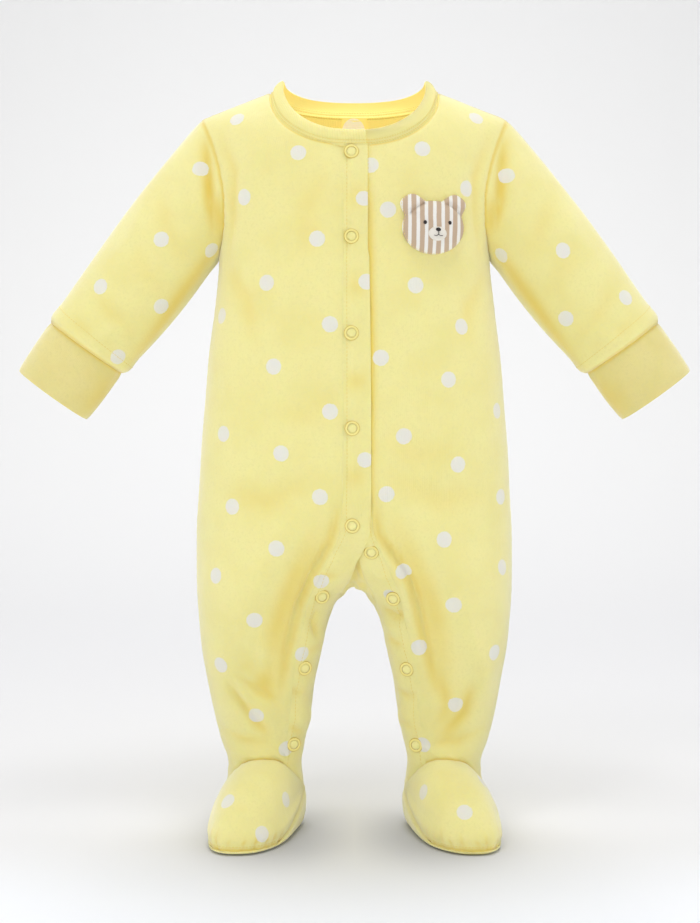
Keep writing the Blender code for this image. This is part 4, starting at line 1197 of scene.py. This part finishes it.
def simpleMesh(name, points, faces, material):
    mesh = bpy.data.meshes.new(name)
    mesh.from_pydata([tuple(p * mm) for p in points], [], faces)
    work = bmesh.new()
    work.from_mesh(mesh)
    bmesh.ops.recalc_face_normals(work, faces=work.faces[:])
    work.to_mesh(mesh)
    work.free()
    mesh.shade_smooth()
    mesh.materials.append(material)
    return toScene(name, mesh)


def bandFaces(bands, rings, count):
    # the faces between rings of points, where the last ring may join the first
    starts = [(i * count, (i + 1) % rings * count) for i in range(bands)]
    return [(low + j, low + (j + 1) % count, high + (j + 1) % count, high + j) for low, high in starts
            for j in range(count)]


def capFaces(rings, count):
    return [tuple(range(count))[::-1], tuple(range((rings - 1) * count, rings * count))]


def turned(profile, middle, out, count, closed):
    # points and faces of a profile of (radius, height) turned about a line
    aside = unit(np.cross(out, (0.0, 0.0, 1.0)))
    up = np.cross(aside, out)
    angles = np.linspace(0, 2 * math.pi, count, endpoint=False)
    points = [middle + r * (math.cos(a) * aside + math.sin(a) * up) + h * out for r, h in profile for a in angles]
    rings = len(profile)
    faces = bandFaces(rings if closed else rings - 1, rings, count)
    return points, faces if closed else faces + capFaces(rings, count)


# ring and dome are turned profiles of (radius, height); tilt and seat are for the body and for the legs; edge is
# painted shade on the ring's inner and outer rims
snap = {"ring": ((3.3, -0.5), (3.3, 0.35), (3.5, 0.6), (3.8, 0.68), (4.7, 0.62), (5.05, 0.42), (5.25, 0.1),
                 (5.25, -0.5)),
        "dome": ((3.25, -0.4), (3.2, 0.15), (2.7, 0.5), (1.8, 0.75), (0.8, 0.86), (0.1, 0.88)),
        "sides": 48, "paint": (0.89, 0.78, 0.27), "edge": (0.64, 0.46, 0.07), "rough": 0.35, "darkRims": (3.42, 5.02),
        "reach": 5.0, "legsBelow": -360.0, "tilt": (-0.3, -1.0), "seat": (70, 93), "proud": 0.1}


def snapPlace(side, x, z):
    # where a snap sits on its strip, and the way it faces
    moved, out = surfaces["placket", side]
    onLeg = z <= snap["legsBelow"]
    away = np.hypot(moved[..., 0] - side * x, moved[..., 2] - z)
    near = away < snap["reach"]
    normal = unit(unit(out[near].mean(axis=0)) + np.array((0.0, snap["tilt"][onLeg], 0.0)))
    flat = moved[near] @ normal
    place = moved.reshape(-1, 3)[int(np.argmin(away))]
    place = place + normal * (np.percentile(flat, snap["seat"][onLeg]) - place @ normal + snap["proud"])
    place[0], place[2] = side * x, z
    return place, normal


def buildSnaps():
    paint, wires, shader = newMaterial("snap paint", snap["paint"], snap["rough"])
    # the ring's inner and outer rims take painted shade, in the edge colour
    wires.fill(shader, Specular_IOR_Level=0.5, Base_Color=wires.mix(wires.field("rim"), snap["paint"], snap["edge"]))
    for number, row in enumerate(snapRows, 1):
        place, normal = snapPlace(*row)
        ring = simpleMesh(f"snap_ring_{number}", *turned(snap["ring"], place, normal, snap["sides"], True), paint)
        rim = ring.data.attributes.new("rim", "FLOAT", "POINT")
        inner, outer = snap["darkRims"]
        for point, value in zip(ring.data.vertices, rim.data):
            reach = (Vector(point.co) / mm - Vector(place)).cross(Vector(normal)).length
            value.value = 1.0 if reach < inner or reach > outer else 0.0
        finishPiece(ring, f"snap_{number}")
        dome = turned(snap["dome"], place, normal, snap["sides"], False)
        attach(simpleMesh(f"snap_cloth_{number}", *dome, plainJersey))


# off is how far the label hangs clear of the back, and how much more at its foot and at its edges
label = {"half": 8.8, "top": -21.0, "low": -46.0, "off": (2.2, 0.5, 0.25), "wall": 0.5, "fine": (19, 27),
         "disc": (-0.6, -31.4), "radius": 8.3, "soft": 0.2, "cloth": (0.88, 0.78, 0.30), "print": (0.80, 0.79, 0.76),
         "printThrough": (0.95, 0.93, 0.86), "rough": 0.7}


def buildLabel():
    tag, wires, shader = newMaterial("label cloth", label["cloth"], label["rough"])
    subsurfaceAndPaintedGlow(wires, shader)
    x, _, z = wires.axes(wires.place())
    x, z = (wires.math("SUBTRACT", value, middle * mm) for value, middle in zip((x, z), label["disc"]))
    radius, soft = label["radius"], label["soft"]
    disc = wires.ramp(wires.length(x, z), (radius + soft) * mm, (radius - soft) * mm)
    # a painted glow over the label, paler on the printed disc
    wires.fill(shader, Emission_Color=wires.mix(disc, glow["through"], label["printThrough"]),
               Base_Color=wires.mix(disc, label["cloth"], label["print"]))
    columns, rows = label["fine"]
    across, down = np.meshgrid(np.linspace(-1, 1, columns), np.linspace(0, 1, rows))
    x = across * label["half"]
    z = label["top"] + (label["low"] - label["top"]) * down
    points = stack(x, depthAt(x, z, False), z)
    out = outwardOf(points, bodyInside)
    off, atFoot, atEdge = label["off"]
    points = points - out * (off + atFoot * down + atEdge * across**2)[..., None]
    thing = clothMesh("label_cloth", [(points, -out)], label["wall"], tag, dots=noDots)
    # the whole label takes the painted glow
    for value in thing.data.attributes["inside"].data:
        value.value = 1.0
    finishPiece(thing, "label")


# beads are across, up, half width, half height and thickness; the mouth's lines are across and up, and
# lie higher over the muzzle
bear = {"middle": (54.0, -110.0), "half": (21.5, 18.5), "ear": 9.0, "earTurn": 43.0, "earWide": 19.0, "thick": 10.0,
        "puff": 2.6, "earCrease": 0.42, "earFoot": (0.93, 1.5), "earFull": 5.0, "rumple": 0.35, "lift": 0.6,
        "sides": 144, "rings": 34, "stripe": 5.7, "brown": (0.56, 0.42, 0.30), "white": (0.86, 0.84, 0.79),
        "dark": (0.035, 0.03, 0.03), "felt": (0.80, 0.76, 0.68), "mouthLift": (1.8, 2.05),
        "muzzle": (0, -5.2, 6.6, 5.0, 1.9), "nose": (0, -2.6, 2.1, 1.5, 2.9),
        "eyeRight": (-8.6, 2.4, 1.25, 1.35, 1.2), "eyeLeft": (8.6, 2.4, 1.25, 1.35, 1.2),
        "mouth": (((0, -3.4), (0, -4.8), (0, -6.0)), ((0, -6.0), (-1.4, -7.0), (-2.9, -6.6)),
                  ((0, -6.0), (1.4, -7.0), (2.9, -6.6)))}
ticking = {"drift": 60.0, "bend": 0.0012, "weave": 1500.0, "ragged": 0.3, "bump": 0.00012}


def bearRadius(angle):
    width, height = bear["half"]
    head = 1 / np.hypot(np.sin(angle) / width, np.cos(angle) / height)
    off = np.degrees(np.abs(angle)) - bear["earTurn"]
    return head, bear["ear"] * np.exp(-((off / bear["earWide"]) ** 4))


def bearFrame():
    x0, z0 = bear["middle"]
    centre, beside, below = (np.array(onFront(p)[0]) for p in ((x0, z0), (x0 + 1, z0), (x0, z0 - 1)))
    out = unit(np.cross(beside - centre, below - centre))
    return centre, out if out[1] < 0 else -out


def bearPoint(angle, share, lift=0.0):
    # a place on the stuffed face, or lifted off it
    x0, z0 = bear["middle"]
    out = bearFrame()[1]
    head, ear = bearRadius(angle)
    reach = (head + ear) * share
    x, z = x0 + reach * np.sin(angle), z0 + reach * np.cos(angle)
    tall = bear["thick"] * (1 - np.minimum(share, 1.0) ** bear["puff"]) ** 0.5
    footAt, footWide = bear["earFoot"]
    crease = hill(reach - head * footAt, footWide) * np.clip(ear / bear["earFull"], 0, 1)
    rumple = bear["rumple"] * np.sin(x * 0.9) * np.sin(z * 0.7) * (1 - share)
    tall = tall * (1 - bear["earCrease"] * crease) + rumple
    return stack(x, depthAt(x, z, True), z) + out * (bear["lift"] + tall + lift)[..., None]


def onFace(across, up, lift=0.0):
    angle = math.atan2(across, up)
    share = math.hypot(across, up) / float(sum(bearRadius(angle)))
    return bearPoint(np.array(angle), np.array(share), np.array(lift))


def bearBead(name, place, material):
    # a small dome on the face
    across, up, wide, tall, high = place
    middle, out = onFace(across, up), bearFrame()[1]
    rows = [(math.cos(t), math.sin(t)) for t in np.linspace(-0.3, math.pi / 2 - 0.05, 9)]
    points, faces = turned(rows, np.zeros(3), out, 28, False)
    aside = unit(np.cross(out, (0.0, 0.0, 1.0)))
    upward = np.cross(aside, out)
    points = [middle + aside * (p @ aside) * wide + upward * (p @ upward) * tall + out * (p @ out) * high
              for p in points]
    attach(simpleMesh(name, points, faces, material))


def makeTicking():
    # striped cotton, its stripes a little bent and ragged
    material, wires, shader = newMaterial("ticking", bear["white"], 0.9, 0.2)
    place = wires.place()
    weave = wires.noise(place, ticking["weave"], 1.0)
    drift = wires.noise(place, ticking["drift"], 1.0)
    bent = wires.math("MULTIPLY_ADD", drift, ticking["bend"], wires.axes(place)[0])
    wave = wires.math("SINE", wires.math("MULTIPLY", bent, 2 * math.pi / (bear["stripe"] * mm)))
    band = wires.ramp(wires.math("MULTIPLY_ADD", weave, ticking["ragged"], wave), -0.25, 0.05)
    wires.fill(shader, Base_Color=wires.mix(band, bear["white"], bear["brown"]))
    wires.bump(shader, weave, ticking["bump"])
    return material


def buildBear():
    count = bear["sides"]
    angles = np.linspace(-math.pi, math.pi, count, endpoint=False)
    shares = np.sin(np.linspace(0.03, math.pi / 2, bear["rings"]))
    rings = [bearPoint(angles, np.full(count, share)) for share in shares]
    centre, out = bearFrame()
    edge = rings[-1]
    rings += [edge + out * -0.5 + (centre - edge) * 0.02]
    rings += [edge + (centre - edge) * 0.5 - out * 0.55]
    points = [p for ring in rings for p in ring]
    faces = bandFaces(len(rings) - 1, len(rings), count)
    faces += [cap[::-1] for cap in capFaces(len(rings), count)]  # its rings run the other way round
    head = finishPiece(simpleMesh("bear_head", points, faces, makeTicking()), "bear_patch")
    felt = newMaterial("muzzle felt", bear["felt"], 0.95, 0.3)[0]
    bearBead("bear_muzzle", bear["muzzle"], felt)
    bearBead("bear_nose", bear["nose"], darkThread)
    bearBead("bear_eye_right", bear["eyeRight"], darkThread)
    bearBead("bear_eye_left", bear["eyeLeft"], darkThread)
    lines["mouth"] = [np.array([onFace(x, up, bear["mouthLift"][abs(x) < 2.5]) for x, up in way])
                      for way in bear["mouth"]]


darkThread = newMaterial("dark thread", bear["dark"], 0.7)[0]
buildSnaps()
buildLabel()
buildBear()
print("snaps, label and bear made")


def stitchTree():
    # lays one long bead for each stitch along every line of a curve
    tree = bpy.data.node_groups.new("stitches", "GeometryNodeTree")
    named = tree.interface
    for name, kind in (("Geometry", "Geometry"), ("Spacing", "Float"), ("Length", "Float"), ("Width", "Float"),
                       ("Thread", "Material")):
        named.new_socket(name, in_out="INPUT", socket_type="NodeSocket" + kind)
    named.new_socket("Geometry", in_out="OUTPUT", socket_type="NodeSocketGeometry")
    wires = Wires(tree)
    start, end = wires.add("NodeGroupInput").outputs, wires.add("NodeGroupOutput")
    spots = wires.add("GeometryNodeCurveToPoints", mode="LENGTH", Curve=start["Geometry"], Length=start["Spacing"])
    bead = wires.add("GeometryNodeMeshUVSphere", Segments=8, Rings=6, Radius=0.5)
    size = wires.add("ShaderNodeCombineXYZ", X=start["Width"], Y=start["Width"], Z=start["Length"])
    copies = wires.add("GeometryNodeInstanceOnPoints", Points=spots.outputs["Points"], Scale=size.outputs[0],
                       Rotation=spots.outputs["Rotation"], Instance=bead.outputs["Mesh"])
    real = wires.add("GeometryNodeRealizeInstances", Geometry=copies.outputs[0])
    colour = wires.add("GeometryNodeSetMaterial", Geometry=real.outputs[0], Material=start["Thread"])
    wires.feed(end.inputs["Geometry"], colour.outputs[0])
    return tree


def stitch(name, ways, material, look):
    curve = bpy.data.curves.new(name, "CURVE")
    curve.dimensions = "3D"
    for way in ways:
        line = curve.splines.new("POLY")
        line.points.add(len(way) - 1)
        line.points.foreach_set("co", np.concatenate([np.array(way) * mm, np.ones((len(way), 1))], axis=1).ravel())
    guide = toScene(name + "_line", curve)
    modifier = guide.modifiers.new("stitches", "NODES")
    modifier.node_group = stitchNodes
    spacing, length, width = look
    values = {"Spacing": spacing * mm, "Length": length * mm, "Width": width * mm, "Thread": material}
    for socket in stitchNodes.interface.items_tree:
        if socket.in_out == "INPUT" and socket.name in values:
            modifier[socket.identifier] = values[socket.name]
    mesh = bpy.data.meshes.new_from_object(guide.evaluated_get(bpy.context.evaluated_depsgraph_get()))
    mesh.name = name
    bpy.data.objects.remove(guide)
    attach(toScene(name, mesh))


# spacing, length and width of the stitches on each line
stitches = {"neck": (1.9, 1.5, 0.4), "placket": (2.6, 2.0, 0.34), "cuff": (2.4, 1.9, 0.36), "foot": (2.4, 1.9, 0.34),
            "mouth": (0.35, 0.6, 0.42), "bearEdge": (2.2, 1.5, 0.4)}
stitchNodes = stitchTree()


def sewStitches():
    stitch("neck_stitches", lines["neck"] + lines["neck inside"], thread, stitches["neck"])
    for side in (1, -1):
        for kind, slotName in (("placket", "dotted_jersey"), ("cuff", "cuff_jersey"), ("foot", "dotted_jersey")):
            stitch(f"{kind}_stitches_{sideName(side)}", lines[kind, side], thread, stitches[kind])
    stitch("bear_mouth", lines["mouth"], darkThread, stitches["mouth"])
    rim = bearPoint(np.linspace(-math.pi, math.pi, 120), np.full(120, 0.985))
    stitch("bear_edge_stitches", [rim], thread, stitches["bearEdge"])


sewStitches()
print("stitches made")


# the stage is in metres; blends are the places across which one colour gives way to the next, and the paper holds a
# painted shadow by the feet and painted light ahead of them
paper = {"wide": 5.0, "front": -3.0, "bend": 1.2, "round": 1.5, "high": 4.5, "below": 0.0005, "rough": 0.95,
         "colour": (0.77, 0.77, 0.785), "far": (1.0, 1.0, 1.0), "farBlend": (0.6, 2.7),
         "ahead": (0.89, 0.91, 0.965), "aheadBlend": (-0.02, -0.22),
         "paintedFeetShadow": (0.54, 0.55, 0.62), "feetBlend": (0.1, 0.015), "feet": (0.056, -0.028), "feetDeep": 0.45}


def makePaper():
    # white paper, with a painted shadow round the feet, painted light, lighter and bluer, just in front of them, and
    # lighter far behind
    material, wires, shader = newMaterial("paper", paper["colour"], paper["rough"])
    x, y, _ = wires.axes(wires.place())
    across = wires.math("SUBTRACT", wires.math("ABSOLUTE", x), paper["feet"][0])
    deep = wires.math("SUBTRACT", y, paper["feet"][1])
    near = wires.ramp(wires.length(across, deep, paper["feetDeep"]), *paper["feetBlend"])
    colour = wires.mix(wires.ramp(y, *paper["farBlend"]), paper["colour"], paper["far"])
    colour = wires.mix(wires.ramp(y, *paper["aheadBlend"]), colour, paper["ahead"])
    wires.fill(shader, Base_Color=wires.mix(wires.math("MULTIPLY", near, near), colour, paper["paintedFeetShadow"]))
    return material


def layPaper():
    bend, curve = paper["bend"], paper["round"]
    profile = [(paper["front"], 0.0), (bend, 0.0)]
    profile += [(bend + curve * math.sin(a), curve - curve * math.cos(a)) for a in np.linspace(0.05, math.pi / 2, 24)]
    profile += [(bend + curve, paper["high"])]
    low = heights["floor"] * mm - paper["below"]
    points = [(x, y, low + z) for y, z in profile for x in (-paper["wide"], paper["wide"])]
    mesh = bpy.data.meshes.new("floor")
    mesh.from_pydata(points, [], [(2 * i, 2 * i + 1, 2 * i + 3, 2 * i + 2) for i in range(len(profile) - 1)])
    mesh.shade_smooth()
    mesh.materials.append(makePaper())
    toScene("floor", mesh)


# place, size, watts, colour and aim of each lamp
white, warm, atSuit = (1.0, 1.0, 1.0), (1.0, 0.99, 0.97), (0.0, 0.0, -0.3)
lamps = {
    "key": ((-0.9, -1.4, 1.7), 0.6, 5.0, warm, atSuit),
    "fill": ((1.7, -1.3, 0.3), 1.2, 3.0, warm, atSuit),
    "low": ((-0.4, -1.35, -0.6), 0.9, 7.4, warm, atSuit),
    "top": ((0.1, -0.7, 1.8), 0.9, 12, white, atSuit),
    "left rim": ((-1.6, -0.25, -0.15), 1.0, 4.0, white, atSuit),
    "right rim": ((1.6, -0.25, -0.15), 1.0, 4.0, white, atSuit),
    "wall": ((0.0, 0.9, 1.9), 1.6, 25, white, atSuit),
    "backdrop": ((0.0, 0.9, 1.9), 1.6, 4, white, (0.0, 2.5, 0.4)),
}
studio = {"sky": 0.46, "camera": (-0.0032, -1.25, -0.2164), "lens": 67.28, "sensor": 36.0, "down": 2.652}


def lightStudio():
    world = bpy.data.worlds.new("studio")
    bpy.context.scene.world = world
    world.use_nodes = True
    wires = Wires(world.node_tree)
    wires.fill(wires.nodes["Background"], Color=white, Strength=studio["sky"])
    for name, (place, size, watts, tint, aim) in lamps.items():
        lamp = bpy.data.lights.new(name, "AREA")
        lamp.shape = "DISK"
        lamp.size = size
        lamp.energy = watts
        lamp.color = tint
        thing = toScene(name, lamp)
        thing.location = place
        thing.rotation_euler = (Vector(aim) - Vector(place)).to_track_quat("-Z", "Y").to_euler()


def setCamera():
    camera = bpy.data.cameras.new("camera")
    camera.sensor_fit = "VERTICAL"
    camera.sensor_height = camera.sensor_width = studio["sensor"]
    camera.lens = studio["lens"]
    thing = toScene("camera", camera)
    thing.location = studio["camera"]
    thing.rotation_euler = (math.radians(90 - studio["down"]), 0, 0)
    bpy.context.scene.camera = thing
    bpy.context.scene.view_settings.view_transform = "Standard"


layPaper()
lightStudio()
setCamera()
print("stage set")
